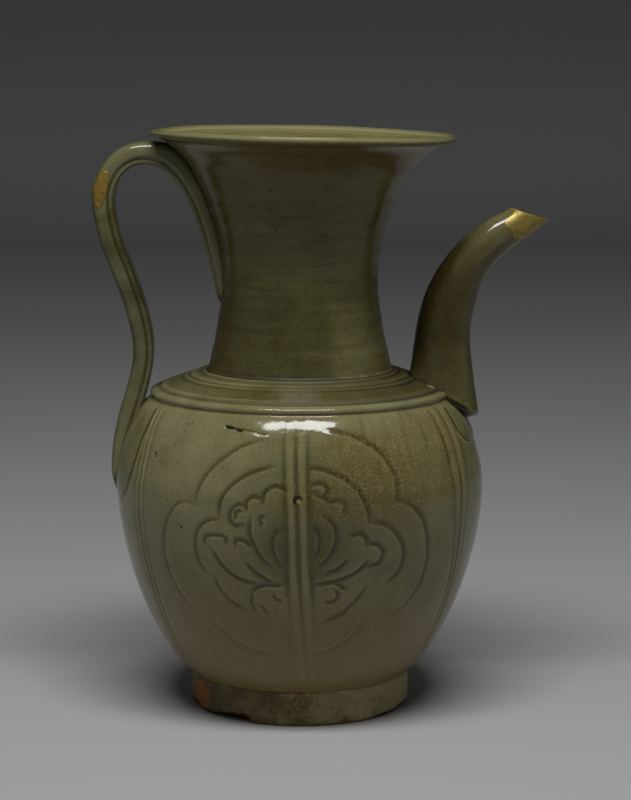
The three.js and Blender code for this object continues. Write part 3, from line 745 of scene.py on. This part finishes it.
def shoulder_outline():
    """From the body over the ring, the fine groove behind it and the plate to the neck's seat."""
    roll = 1.6
    turn = np.linspace(-0.2 * math.pi, 0.4 * math.pi, 24)
    ring = np.column_stack([RING_R - roll + roll * np.cos(turn), RING_Z - 0.1 + roll * np.sin(turn)])
    seat = np.array([SEAT_R, SEAT_Z])
    plate = np.linspace(ring[-1], seat, 150)
    away = plate[:, 0]
    plate[:, 1] += 0.6 * np.sin(np.pi * (away - SEAT_R) / (ring[-1, 0] - SEAT_R))
    for middle, height, wide in PLATE_LINES:
        plate[:, 1] += height * bell(away, middle, wide)
    return np.vstack([ring, plate[1:]])


def plate_shade(angle, radius):
    """How dark the glaze is on the plate: painted shade of the rim's shadow over it, darker towards the
    spout, thin and paler on the fine ridges.
    """
    right = np.cos(angle)
    shade = -1.04 - 0.48 * right + 0.1 * wavy(angle * 50, radius * 2, 18, 61)
    shade = shade * smoothstep(radius, RING_R - 1.4, RING_R - 3.4)
    for middle, height, wide in PLATE_LINES:
        shade = shade + np.sign(height) * 0.42 * bell(radius, middle, 0.9 * wide)
    joint = bell(radius, SEAT_R + 0.3, 1.0) * (0.7 + 0.5 * wavy(angle * 40, radius * 0, 9, 67))
    return shade - 1.1 * np.clip(joint, 0, 1.3)


def inner_outline():
    """From the neck's seat down the inside of the body to its floor."""
    bore = SEAT_R - WALL
    shoulder = bezier([(bore, SEAT_Z - WALL), (RING_R - WALL, RING_Z - WALL / 2),
                       (BELLY_R - WALL, BELLY_Z + 22.7), (BELLY_R - WALL, BELLY_Z)], 24)
    bowl = bezier([(BELLY_R - WALL, BELLY_Z), (BELLY_R - WALL, BELLY_Z - 27.7),
                   (FOOT_R + 15.7 - WALL, FOOT_TOP + FLOOR + 4.2), (FOOT_R - 3 * WALL, FOOT_TOP + FLOOR)], 24)
    return np.vstack([[(bore, SEAT_Z)], shoulder, bowl[1:]])


BODY_STEP = 0.5
NECK_STEP = 0.7
# Where the spout and the handle are joined on: middle, half width in degrees, top, bottom and height
LUTINGS = [(0, 24.5, 124, 112.5, 0.7), (math.pi, 27, 122, 86, 0.8)]


def body_tones(phi, radius, z):
    """Relief with painted shade and light, tone, gloss loss and warm patches of the glaze on the outside of
    the body.
    """
    on_plate = (z > RING_Z) & (radius < RING_R - 0.4)
    on_wall = z < RING_Z - 1
    relief = np.where(on_plate, plate_shade(phi, radius), 0)
    streaks = wavy(phi * BELLY_R, z * 0.1, 4.2, 91) * smoothstep(z, 96, 118) * on_wall
    relief += 0.42 * streaks * bell(phi, math.radians(-40), 0.62, 4)
    # Painted shade over the belly's middle, right of the front
    relief -= 0.55 * bell(phi, math.radians(-74), 0.62) * bell(z, 95, 34) * on_wall
    relief -= 0.25 * bell(phi, FRONT, 0.36) * bell(z, 78, 17)
    # Towards the foot the glaze is browner, and painted paler as if lit from the floor below
    low = (1 - smoothstep(z, 28, 66)) * (0.85 + 0.35 * wavy(phi * BELLY_R, z, 40, 33))
    relief += 0.5 * low
    # Painted shade under the ring: a browner band
    under_ring = plateau(z, 129.4, 130.6, 131, 132) * (radius > RING_R - 3)
    matt = 0.3 + 0.6 * smoothstep(radius, SEAT_R + 12, SEAT_R + 3)
    matt *= smoothstep(radius, RING_R - 1.6, RING_R - 3.2)
    matt += 0.8 * bell(radius, RING_R - 4.2, 1.4)
    return relief, 0.35 * under_ring + 0.75 * low, matt * on_plate, warm_patches(phi, z)


def build_body():
    lower = resample(body_wall, BODY_STEP)
    top = shoulder_outline()
    outline = np.vstack([[(FOOT_R - 6, FOOT_TOP)], lower, top, inner_outline()])
    angle = body_columns()
    columns = len(angle)
    phi, radius, z = lathe_grid(outline, angle)
    wall = slice(columns, (1 + len(lower)) * columns)
    outer = slice(columns, (1 + len(lower) + len(top)) * columns)
    rise, relief, tone, matt, patch = np.zeros((5, len(phi)))
    layers = [body_relief(phi[wall], z[wall], radius[wall]), body_flaws(phi[wall], z[wall], radius[wall])]
    layers += [luting_mound(phi[wall], z[wall], *luting) for luting in LUTINGS]
    for lift, shade in layers:
        rise[wall] += lift
        relief[wall] += shade
    run = phi[outer] * BELLY_R
    rise[outer] += 0.1 * wavy(run, z[outer], 34, 3) * smoothstep(z[outer], FOOT_TOP, FOOT_TOP + 6)
    rise[outer] += 0.07 * wavy(run, z[outer] * 1.5, 13, 9) * smoothstep(z[outer], 112, 122)
    skin = turned(radius + rise, phi, z)
    shade, tone[outer], matt[outer], patch[outer] = body_tones(phi[outer], radius[outer], z[outer])
    relief[outer] += shade
    by_spout = (skin[:, 0] > 40) & (np.abs(skin[:, 1]) < 22) & (z > 108) & (radius > SEAT_R + 3)
    by_strap = (skin[:, 0] < -55) & (np.abs(skin[:, 1]) < 16) & (z > 84) & (radius > RING_R - 2)
    by_spout[outer.stop:] = by_strap[outer.stop:] = False
    root = spout_skin(200, 96)[-2][:90].reshape(-1, 3)
    strap = strap_points(260, strap_section(34))[0].reshape(-1, 3)
    # Painted shade on the body where the spout's root and the strap's foot lie against it
    relief[by_spout] -= 2.4 * contact(skin[by_spout], root, 1.25)
    relief[by_strap] -= 1.5 * contact(skin[by_strap], strap[strap[:, 2] < 128], 0.6)
    points, faces = closed_tube(skin, columns, (0, 0, FOOT_TOP), (0, 0, FOOT_TOP + FLOOR))
    make_piece("body_glazed", points, faces, BODY_GLAZE, "body", "body",
               relief=relief, tone=tone, patch=patch, matt=matt)


# Neck

def lean_rim(points):
    """The flare leans and shifts towards the spout."""
    share = smoothstep(points[:, 2], RIM_TILT_START, LIP_Z)
    moved = points.copy()
    moved[:, 0] += share * RIM_SHIFT
    moved[:, 2] -= share * points[:, 0] * math.tan(RIM_TILT)
    return moved


def neck_outline():
    """Up the outside, over the lip and down the bore; and how many rows are outside."""
    lip = bezier([flare_end, (LIP_R + 0.2 * LIP_THICK, LIP_Z - 0.3 * LIP_THICK),
                  (LIP_R, TOP_Z), (LIP_R - 0.6 * LIP_THICK, TOP_Z)], 12)
    rim = (LIP_R - 1.1 * LIP_THICK, TOP_Z - 0.35 * LIP_THICK)
    flare = bezier([rim, (rim[0] - 19.8, rim[1] - 5.6), (WAIST_R - WALL, WAIST_Z + 20.5),
                    (WAIST_R - WALL, WAIST_Z)], 90)
    throat = bezier([(WAIST_R - WALL, WAIST_Z), (WAIST_R - WALL, WAIST_Z - 10.3),
                     (SEAT_R - WALL - 2.1, SEAT_Z + 9.5), (SEAT_R - WALL, SEAT_Z)], 40)
    outer = resample(neck_wall, NECK_STEP)
    foot = [(SEAT_R + 0.9, SEAT_Z), (SEAT_R + 0.25, SEAT_Z + 0.5)]
    return np.vstack([foot, outer[1:], lip[1:], flare, throat[1:]]), len(outer) + len(lip)


def neck_tones(phi, radius, z, outside):
    """Relief with painted shade and light, tone and gloss loss of the neck's glaze."""
    streak = np.clip(wavy(phi * 40, z * 0.15, 9, 17), 0, 1)
    right = np.cos(phi)
    on_wall = radius > WAIST_R - 1
    tone = 0.45 * bell(z, LIP_Z - 1.5, 1.6) * (radius > LIP_R - 6)
    tone += 0.5 * smoothstep(right, 0.55, 0.95) * streak * smoothstep(z, 160, 215) * (z < LIP_Z)
    band = bell(z, 230.5, 5.5, 4) * bell(phi, math.radians(-52), 0.85, 4)
    tone = np.maximum(tone, 0.6 * band * (0.75 + 0.5 * streak))
    tone += 0.2 * smoothstep(z, 196, 226) * (z < LIP_Z - 1)
    # Painted shade down the lower part of both flanks of the neck, weaker on the right
    side = smoothstep(np.abs(right), 0.74, 0.9) * (1 - smoothstep(z, 205, 218)) * on_wall
    tone += 0.5 * side * (0.8 + 0.4 * streak) * np.where(right > 0, 0.45, 1)
    worn = np.clip(wavy(phi * LIP_R, z * 2, 7, 71), 0, 1) * bell(z, LIP_Z - 0.2, 0.8)
    tone = np.clip(tone + 0.7 * worn * outside, 0, 1)
    joint = bell(z, SEAT_Z, 1.3) * np.clip(0.8 + 0.7 * wavy(phi * SEAT_R, z * 3, 8, 73), 0.1, 1.6)
    # The lip is paler: thin glaze, and painted light on the rim's top
    relief = 1.5 * bell(z, LIP_Z + 0.8, 1.3) - 1.3 * joint
    relief -= 0.7 * (1 - smoothstep(z, 160, 192)) * (1 - np.clip(joint, 0, 1))
    # Painted light on the right side of the lower neck
    relief += 0.7 * smoothstep(right, 0.25, 0.6) * (1 - smoothstep(z, 190, 212)) * on_wall
    return relief, tone, 0.8 * bell(z, SEAT_Z, 4)


def build_neck():
    outline, outer_rows = neck_outline()
    angle = full_turn(360)
    phi, radius, z = lathe_grid(outline, angle)
    rings = 0.10 * np.sin(z / 2.3 + 0.6 * np.sin(z / 7.1)) + 0.07 * np.sin(z / 1.07 + 0.3 * np.sin(phi))
    drift = 0.12 * wavy(phi * WAIST_R, z, 30, 5)
    r = radius + plateau(z, SEAT_Z, SEAT_Z + 4, LIP_Z - 4, LIP_Z) * (0.75 * rings + drift)
    r += 0.12 * smoothstep(z, LIP_Z - 6, LIP_Z) * np.sin(3 * phi + 1)
    points = lean_rim(turned(r, phi, z))
    # The rim wavers: it is higher in front and over the handle, and lower behind it
    waver = 0.8 * bell(phi, FRONT, 0.9) - 0.9 * bell(turn_from(phi, math.radians(165)), 0, 0.5)
    points[:, 2] += smoothstep(z, LIP_Z - 8, LIP_Z) * (waver + 0.12 * np.sin(5 * phi + 1))
    outside = (np.arange(len(z)) < outer_rows * len(angle)) & (radius > LIP_R - 7)
    points[:, 2] += 0.7 * bell(np.abs(phi), math.pi, 0.45) * outside * smoothstep(LIP_Z + 1.6 - z, 0, 2)
    relief, tone, matt = neck_tones(phi, radius, z, outside)
    make_piece("neck_glazed", points, tube_faces(len(outline), len(angle), ring=True), NECK_GLAZE,
               "neck", "neck", relief=relief, tone=tone, matt=matt)


# Foot ring

# Chips: degrees round the foot, half width, height and depth
CHIPS = [(236, 6.5, 3.9, 3.2), (226, 6, 3.2, 2.6), (212, 8, 2.0, 1.5), (197, 7, 3.4, 2.4),
         (324, 11, 1.7, 1.5), (343, 9, 3.0, 2.2), (60, 7, 1.8, 1.4), (120, 10, 2.2, 1.7)]


def build_foot():
    inner = FOOT_R - FOOT_WALL
    toe = bezier([(FOOT_R - 1.6, 0), (FOOT_R - 0.6, 0.1), (FOOT_R - 0.1, 1.2), (FOOT_R, 2.8)], 14)
    outline = np.vstack([[(inner + 1.6, 0)], toe, np.linspace((FOOT_R, 3.2), (FOOT_R, FOOT_TOP), 24),
                         [(inner - 1.6, FOOT_TOP)], np.linspace((inner, FOOT_TOP - 3), (inner, 1.6), 12)])
    angle = full_turn(480)
    phi, radius, z = lathe_grid(outline, angle)
    r = radius + 0.1 * wavy(phi * FOOT_R, z * 2, 22, 23) * (radius > inner + 1)
    broken = np.zeros_like(r)
    degrees = np.degrees(phi) % 360
    for middle, spread, height, depth in CHIPS:
        ragged = 1 + 0.25 * wavy(degrees, z * 3, 6, 31)
        away = (degrees - middle + 180) % 360 - 180
        bite = bell(away, 0, spread, 4) * np.clip(1 - z / (height * ragged), 0, 1) * (radius > FOOT_R - 5)
        r = r - depth * bite
        z = z + 0.75 * height * bite * (z < height)
        broken = np.maximum(broken, bite ** 0.5)
    patch = bell(degrees, 205, 9.5, 4) * bell(z, 7.5, 5.5, 4)
    patch = patch * np.clip(0.9 + 0.7 * wavy(degrees, z * 2, 7, 37), 0, 1)
    worn_edge = 0.7 * np.clip(1 - z / 1.4, 0, 1)
    bare = np.clip(np.maximum(np.maximum(patch, broken), worn_edge), 0, 1)
    side = np.clip(0.5 + 0.62 * np.cos(phi) + 0.3 * wavy(phi * FOOT_R, z * 2, 18, 29), 0, 1)
    make_piece("foot_glazed", turned(r, phi, z), tube_faces(len(outline), len(angle), ring=True),
               FOOT_GLAZE, "foot_ring", "foot_ring", tone=bare, patch=side)


# Handle

STRAP_WIDTH = 16
STRAP_ROOT = 2.2
HANDLE_REACH = 86.2
ARCH_THICK = 9.7
ARCH_FALL = 20.1
GRIP_THICK = 8.9
GRIP_END_Z = 147.5
# Where the strap lies on the neck and on the body: height, thickness and share of the width
NECK_LUTE = [(169.8, 0.5, 0.2), (171.8, 1.7, 0.52), (181, 4.2, 0.8), (193, 5.8, 0.95), (205, 6.1, 1),
             (215, 6.5, 1), (223.3, 7.2, 1), (232, 8.6, 1)]
BODY_LUTE = [(118, 6.3, 1.02), (112, 5.2, 1.06), (105, 3.9, 1.08), (98, 2.6, 1), (92, 0.9, 0.75)]


def strap_path():
    """Middle, outer half, inner half and width of the strap from the neck over the arch to the belly."""
    rows = []
    for height, thick, width in NECK_LUTE:
        point, normal = surface_at(neck_wall, height)
        middle = point + normal * thick / 2
        rows.append((-middle[0], middle[1], thick / 2 + STRAP_ROOT, thick / 2, width))
    arch_x = LIP_R + 1.6
    arch_z = LIP_Z - 6.7 - ARCH_FALL
    reach = HANDLE_REACH - ARCH_THICK / 2 - arch_x
    for turn in np.linspace(0, math.pi / 2, 5):
        rows.append((-(arch_x + reach * math.sin(turn)), arch_z + ARCH_FALL * math.cos(turn),
                     ARCH_THICK / 2, ARCH_THICK / 2, 1))
    outset = HANDLE_REACH - ARCH_THICK / 2
    grip = bezier([(outset, arch_z), (outset, arch_z - 19), (RING_R + 2.8, GRIP_END_Z + 25),
                   (RING_R + 2.8, GRIP_END_Z)], 5)
    for i, (x, z) in enumerate(grip[1:]):
        half = (ARCH_THICK + (GRIP_THICK - ARCH_THICK) * (i + 1) / 4) / 2
        rows.append((-x, z, half, half, 1))
    for height, thick, width in BODY_LUTE:
        point, normal = surface_at(body_wall, height)
        middle = point + normal * thick / 2
        rows.append((-middle[0], middle[1], thick / 2, thick / 2 + STRAP_ROOT, width))
    return rows


def strap_section(count):
    """Half the section as (across, through): a crowned outer band, a side groove, a narrow inner band."""
    half = [(0, 0.485), (0.07, 0.47), (0.14, 0.425), (0.21, 0.46), (0.3, 0.465), (0.405, 0.41), (0.475, 0.29),
            (0.5, 0.12), (0.5, -0.1), (0.46, -0.19), (0.44, -0.23), (0.462, -0.285), (0.46, -0.38),
            (0.4, -0.47), (0.28, -0.5), (0, -0.5)]
    side = resample(catmull(half, 200), 0.01)
    places = np.linspace(0, len(side) - 1, count).round().astype(int)
    right = side[places]
    left = right[1:-1][::-1] * [-1, 1]
    return np.vstack([right, left])


def strap_points(stations, section):
    """Grid of points of the strap, station by station."""
    path = catmull(strap_path(), stations)
    tangent = np.gradient(path[:, :2], axis=0)
    tangent /= np.linalg.norm(tangent, axis=1)[:, None]
    outward = np.column_stack([tangent[:, 1], -tangent[:, 0]])
    grid = []
    for (x, z, outer, inner, width), (nx, nz) in zip(path, outward):
        rise = (section[:, 1] + 0.5) * (outer + inner) - inner
        grid.append(np.column_stack([x + nx * rise, section[:, 0] * width * STRAP_WIDTH, z + nz * rise]))
    return np.array(grid), outward


def build_handle():
    section = strap_section(34)
    grid, outward = strap_points(260, section)
    rows, columns = grid.shape[:2]
    skin = grid.reshape(-1, 3)
    waver = 0.12 * wavy(skin[:, 2], skin[:, 1] * 2, 26, 51)
    skin = skin + waver[:, None] * np.repeat(np.insert(outward, 1, 0, axis=1), columns, axis=0)
    x, z = skin[:, 0], skin[:, 2]
    depth = np.tile(section[:, 1], rows)
    across = np.abs(np.tile(section[:, 0], rows))
    relief = 0.5 * bell(across, 0.5, 0.05) - 0.85 * bell(depth, -0.22, 0.05) * (across > 0.38)
    relief -= 0.3 * bell(across, 0.14, 0.05) * (depth > 0)
    # Painted light on the strap's end by the neck, under the flare
    relief += 0.9 * smoothstep(-x, 62, 54) * smoothstep(z, 228, 218) * (z > 150)
    grip = bell(z, 180, 42, 4) * smoothstep(-x, 56, 66)
    relief -= 1.25 * grip * (0.8 + 0.3 * wavy(z, depth * 9, 17, 87))
    points, faces = closed_tube(skin, columns, grid[0].mean(axis=0), grid[-1].mean(axis=0))
    make_piece("handle_glazed", points, faces, HANDLE_GLAZE, "handle", "handle", relief=relief)


def in_polygon(x, z, outline):
    """Whether points lie inside a closed outline."""
    inside = np.zeros(x.shape, bool)
    for (ax, az), (bx, bz) in zip(outline, np.roll(outline, -1, 0)):
        crosses = (az > z) != (bz > z)
        inside ^= crosses & (x < (bx - ax) * (z - az) / (bz - az + 1e-12) + ax)
    return inside


# The outline of the lacquer fill as seen from the front: x and z
FILL = np.array([(-78.7, 223.8), (-77.9, 222.3), (-78.5, 218.8), (-79.8, 213.6), (-81.4, 209.8),
                 (-83, 208.6), (-84.5, 209.3), (-85.3, 212.3), (-85.3, 216), (-84.6, 219.9),
                 (-83.1, 222.8), (-80.9, 224.6)])
FILL_PROUD = 0.16
FILL_DEPTH = 0.9


def build_handle_fill():
    """The lacquer fill: a skin just proud of the strap's outer front shoulder."""
    grid = strap_points(900, strap_section(60))[0]
    x, y, z = np.moveaxis(grid, 2, 0)
    ragged = 0.35 * wavy(z, y, 4, 61)
    inside = in_polygon(x + ragged, z + ragged, FILL) & (y < 0.5 + 1.5 * ragged)
    rows, columns = np.nonzero(inside)
    top, left = rows.min(), columns.min()
    bottom, right = rows.max() + 1, columns.max() + 1
    patch = grid[top:bottom + 1, left:right + 1]
    mask = inside[top:bottom + 1, left:right + 1]
    away = patch - patch.mean(axis=1, keepdims=True) * [1, 0, 1]
    away /= np.linalg.norm(away, axis=2, keepdims=True)
    index = np.arange(mask.size).reshape(mask.shape)
    quads = mask[:-1, :-1] & mask[1:, :-1] & mask[:-1, 1:] & mask[1:, 1:]
    tops = np.stack([index[:-1, :-1], index[:-1, 1:], index[1:, 1:], index[1:, :-1]], axis=-1)[quads].tolist()
    edges = [(quad[k], quad[(k + 1) % 4]) for quad in tops for k in range(4)]
    shared = set(edges)
    # The lower skin's vertices follow the upper skin's, and a wall joins them where no quad goes on
    n = mask.size
    faces = tops + [(d + n, c + n, b + n, a + n) for a, b, c, d in tops]
    faces += [(p, p + n, q + n, q) for p, q in edges if (q, p) not in shared]
    points = np.vstack([patch + FILL_PROUD * away, patch - FILL_DEPTH * away]).reshape(-1, 3)
    used, renamed = np.unique(np.array(faces), return_inverse=True)
    make_piece("handle_fill", points[used], renamed.reshape(-1, 4), GOLD, "handle_repair", "gold_lacquer")


# Spout

SPOUT_ROOT_R = 58.4
SPOUT_ROOT_Z = 132
SPOUT_PATH = [
    (-2.3, -23, 11.2), (-1.2, -16, 11.3), (1.2, -5, 11.9), (1.1, 4, 12.5), (0.9, 12, 12.2),
    (0.9, 20, 11.6), (1.9, 30, 11.1), (4.6, 40, 10.6), (9.1, 50, 9.3), (15.6, 58.5, 8.4),
    (23.6, 65.3, 7.7), (32.1, 70.6, 6.8), (38.0, 74.8, 6.5), (46.7, 80.6, 6.5),
]
SPOUT_TIP = np.array([102.9, 0, 203.7])
MOUTH_SLOPE = math.radians(17.3)
ROOT_BORE = 8
TIP_BORE = 4.1


def spout_line(stations):
    """The tube's middle line, the directions along and across it, and its radius."""
    path = catmull(SPOUT_PATH, stations)
    centre = np.column_stack([path[:, 0] + SPOUT_ROOT_R, np.zeros(stations), path[:, 1] + SPOUT_ROOT_Z])
    along = np.gradient(centre, axis=0)
    along /= np.linalg.norm(along, axis=1)[:, None]
    across = np.column_stack([along[:, 2], along[:, 1], -along[:, 0]])
    return centre, along, across, path[:, 2]


# The plane of the spout's foot lip, tilted to the shoulder's slope
FOOT_TILT = math.radians(30)
FOOT_UP = np.array([math.sin(FOOT_TILT), 0, math.cos(FOOT_TILT)])
FOOT_MIDDLE = np.array([SPOUT_ROOT_R + 2.6, 0, SPOUT_ROOT_Z - 3.4])


def spout_skin(stations, columns):
    """The tube's middle line, its directions, and its outer and inner skin, ring by ring."""
    centre, along, across, radius = spout_line(stations)
    share = np.linspace(0, 1, stations)
    bore = ROOT_BORE + (TIP_BORE - ROOT_BORE) * smoothstep(share, 0.25, 0.9)
    turn = np.linspace(0, 2 * math.pi, columns, endpoint=False)
    side = np.array([0, 1, 0])
    spoke = np.cos(turn)[None, :, None] * across[:, None, :] + np.sin(turn)[None, :, None] * side
    outer = centre[:, None, :] + radius[:, None, None] * spoke
    inner = centre[:, None, :] + bore[:, None, None] * spoke
    height = (outer - FOOT_MIDDLE) @ FOOT_UP
    flare = bell(np.clip(height, 0, None), 0, 8.5, 1.3)
    right = 0.5 + 0.5 * np.cos(turn)[None, :]
    edge = (1.6 + 2.2 * right) * flare * smoothstep(height, -2.4, 0.6)
    outer = outer + edge[:, :, None] * spoke
    return centre, along, turn, outer, inner


def spout_tones(points, turn):
    """Relief with painted shade, and tone, of the glaze on the spout's outside, by place and by turn round
    the tube.
    """
    x, z = points[:, 0], points[:, 2]
    right = np.cos(turn)
    height = (points - FOOT_MIDDLE) @ FOOT_UP + 2.5
    # A painted shadow under the foot lip, as a dark crevice, higher in front, with a pale line over it
    over = height - 2.3 * plateau(x, 58.5, 60.5, 68.5, 72.5)
    relief = 0.8 * bell(over, 3.8, 0.5) - 2.5 * (1 - smoothstep(over, 2.3, 3.0))
    relief += 0.4 * smoothstep(z, 184, 198) - 0.75 * bell(z, 165, 22, 4)
    relief -= 0.35 * (1 - smoothstep(z, 140, 152)) * (height > 5)
    # The left flank, which faces the neck, is darker: painted shade, over a deeper glaze
    relief -= 1.1 * smoothstep(-right, 0.4, 0.9) * plateau(z, 140, 155, 192, 206)
    relief += 0.4 * bell(right, 0.72, 0.2)
    wander = 0.12 * wavy(z, z * 0, 40, 95, octaves=2)
    tone = 0.6 * bell(right - wander, 0.05, 0.14) * plateau(z, 138, 150, 172, 190)
    tone += 0.35 * bell(right + wander, 0.45, 0.1) * plateau(z, 150, 160, 185, 200)
    tone += 0.3 * np.clip(wavy(turn * 11, z * 0.12, 6, 97), 0, 1) + 0.4 * bell(z, 172, 20)
    return relief, np.clip(tone, 0, 0.9)


def build_spout():
    stations, columns = 400, 96
    centre, along, turn, outer, inner = spout_skin(stations, columns)
    up = np.array([math.sin(MOUTH_SLOPE), 0, math.cos(MOUTH_SLOPE)])

    def cut(lines):
        """Index, as a float, where each line along the tube meets the mouth's plane."""
        above = (lines - SPOUT_TIP) @ up
        ends = []
        for c in range(columns):
            k = int(np.argmax(above[:, c] > 0))
            a, b = above[k - 1, c], above[k, c]
            ends.append(k - 1 + a / (a - b))
        return np.array(ends)

    def sample(lines, places):
        """Points on the lines at places given as floating indices."""
        base = np.clip(places.astype(int), 0, stations - 2)
        part = (places - base)[..., None]
        column = np.arange(columns)[None, :]
        return lines[base, column] * (1 - part) + lines[base + 1, column] * part

    end_outer, end_inner = cut(outer), cut(inner)
    tip_dir = along[-30]
    # How far the gold reaches down from the tip, from the spout's upper side round to its lower side
    length = np.interp(np.cos(turn), [-1, -0.73, -0.6, -0.45, -0.2, 0.25, 0.55, 0.8, 1],
                       [9.7, 9.8, 12.4, 15.3, 16, 14.9, 15.9, 14.5, 11])
    length = np.where(np.sin(turn) > 0.25, 13.5, length)
    tip_place = []
    for c in range(columns):
        away = (outer[:, c] - SPOUT_TIP + length[c] * tip_dir) @ tip_dir
        tip_place.append(np.interp(0, away[-200:], np.arange(stations - 200, stations)))
    ragged = 1.5 * wavy(np.cos(turn) * 6, np.sin(turn) * 6, 3.5, 73)
    border = np.clip(np.array(tip_place) + ragged, 0, end_outer - 3)
    border_inner = np.clip(border, 0, end_inner - 3)

    def tube(start_o, end_o, start_i, end_i, rows, proud):
        """A length of tube wall as one closed ring: out along the outside, round the end, back inside."""
        t = np.linspace(0, 1, rows)[:, None]
        outside = sample(outer, start_o + (end_o - start_o) * t)
        inside = sample(inner, end_i + (start_i - end_i) * t)
        outside = outside + proud * outward(outside)
        lip = []
        a, b = outside[-1], inside[0]
        for s in (0.12, 0.3, 0.5, 0.7, 0.88):
            lip.append(a * (1 - s) + b * s + 0.22 * math.sin(math.pi * s) ** 0.7 * up)
        ring = np.vstack([outside, np.array(lip), inside])
        return ring.reshape(-1, 3), tube_faces(len(ring), columns, ring=True)

    def outward(lines):
        """Outward direction at points of the tube's outside."""
        flat = lines.reshape(-1, 3)
        nearest = np.argmin(((flat[:, None, :] - centre[None, ::8, :]) ** 2).sum(axis=2), axis=1)
        away = flat - centre[::8][nearest]
        away /= np.linalg.norm(away, axis=1)[:, None]
        return away.reshape(lines.shape)

    start = np.full(columns, 4.0)
    rows = 200
    points, faces = tube(start, border, start, border_inner, rows, 0)
    relief, tone = spout_tones(points, np.tile(turn, len(points) // columns))
    outside = np.arange(len(points)) < rows * columns
    # The tube's inside is darkened: painted shade
    make_piece("spout_glazed", points, faces, SPOUT_GLAZE, "spout", "spout",
               relief=np.where(outside, relief, -1.2), tone=np.where(outside, tone, 0))
    rows = 60
    points, faces = tube(border - 1.5, end_outer, border_inner, end_inner, rows, 0.14)
    # The gold inside the mouth is darkened: painted shade in the opening
    within = np.arange(len(points)) >= (rows + 4) * columns
    make_piece("spout_tip_fill", points, faces, TIP_GOLD, "spout_tip_repair", "gold_lacquer",
               relief=-2.2 * within)


# Stage, light and camera

FLOOR_HALF = 14.0
BEND_START = 2.2
BEND_RADIUS = 0.8
WALL_TOP = 3.0
PALE_PAPER = "a6a6a6"
DARK_PAPER = "343434"
WORLD_COLOUR = (0.82, 0.83, 0.84, 1)
WORLD_STRENGTH = 0.11
LAMP_PLACE = (-0.02, -0.45, 1.1)
LAMP_AIM = (-0.02, -0.02, 0.12)
LAMP_SIZE = (0.75, 0.27)
LAMP_WATTS = 11.8


def build_floor():
    """A sheet of paper that lies flat under the jug and bends up far behind it."""
    bend = [(-FLOOR_HALF, 0), (-3, 0)]
    bend += [(BEND_START + BEND_RADIUS * math.sin(t), BEND_RADIUS * (1 - math.cos(t)))
             for t in np.linspace(0, math.pi / 2, 12)]
    bend += [(BEND_START + BEND_RADIUS, WALL_TOP)]
    mesh = bpy.data.meshes.new("floor")
    mesh.from_pydata([(side * FLOOR_HALF, y, z) for y, z in bend for side in (-1, 1)], [],
                     [(2 * i, 2 * i + 1, 2 * i + 3, 2 * i + 2) for i in range(len(bend) - 1)])
    mesh.shade_smooth()
    s = Shader("floor_paper")
    paper = s.mix(s.ramp(s.axis("Z"), 0.0, 0.75), colour(PALE_PAPER), colour(DARK_PAPER))
    s.surface(Base_Color=paper, Roughness=0.9, Specular_IOR_Level=0.1)
    mesh.materials.append(s.material)
    floor = bpy.data.objects.new("floor", mesh)
    bpy.context.scene.collection.objects.link(floor)


def build_light():
    """Weak even light from all round, and one soft lamp above and in front."""
    world = bpy.data.worlds.new("studio")
    world.use_nodes = True
    sky = world.node_tree.nodes["Background"]
    sky.inputs["Color"].default_value = WORLD_COLOUR
    sky.inputs["Strength"].default_value = WORLD_STRENGTH
    bpy.context.scene.world = world
    light = bpy.data.lights.new("top_light", "AREA")
    light.shape = "RECTANGLE"
    light.size, light.size_y = LAMP_SIZE
    light.energy = LAMP_WATTS
    lamp = bpy.data.objects.new("top_light", light)
    lamp.location = LAMP_PLACE
    lamp.rotation_euler = (Vector(LAMP_AIM) - Vector(LAMP_PLACE)).to_track_quat("-Z", "Y").to_euler()
    bpy.context.scene.collection.objects.link(lamp)


# Camera, in millimetres and in pixels of the photograph
CAMERA_AWAY = 1106.115
CAMERA_Z = 290.03
AIM_Z = 128.168
FOCAL_PX = 2672.71
AXIS_PX = 300
PHOTO_WIDTH, PHOTO_HEIGHT = 631, 800


def build_camera():
    """The view of the photograph."""
    data = bpy.data.cameras.new("photo_camera")
    data.sensor_width = 36
    data.lens = FOCAL_PX * data.sensor_width / PHOTO_HEIGHT
    data.shift_x = (PHOTO_WIDTH / 2 - AXIS_PX) / PHOTO_HEIGHT
    data.clip_start, data.clip_end = 0.05, 20
    camera = bpy.data.objects.new("photo_camera", data)
    camera.location = (AXIS_X * MM, -CAMERA_AWAY * MM, CAMERA_Z * MM)
    tilt = math.atan2(CAMERA_Z - AIM_Z, CAMERA_AWAY)
    camera.rotation_euler = (math.pi / 2 - tilt, 0, 0)
    bpy.context.scene.collection.objects.link(camera)
    bpy.context.scene.camera = camera


build_camera()
build_body()
build_neck()
build_foot()
build_handle()
build_handle_fill()
build_spout()
build_floor()
build_light()
bpy.context.scene.view_settings.view_transform = "Standard"
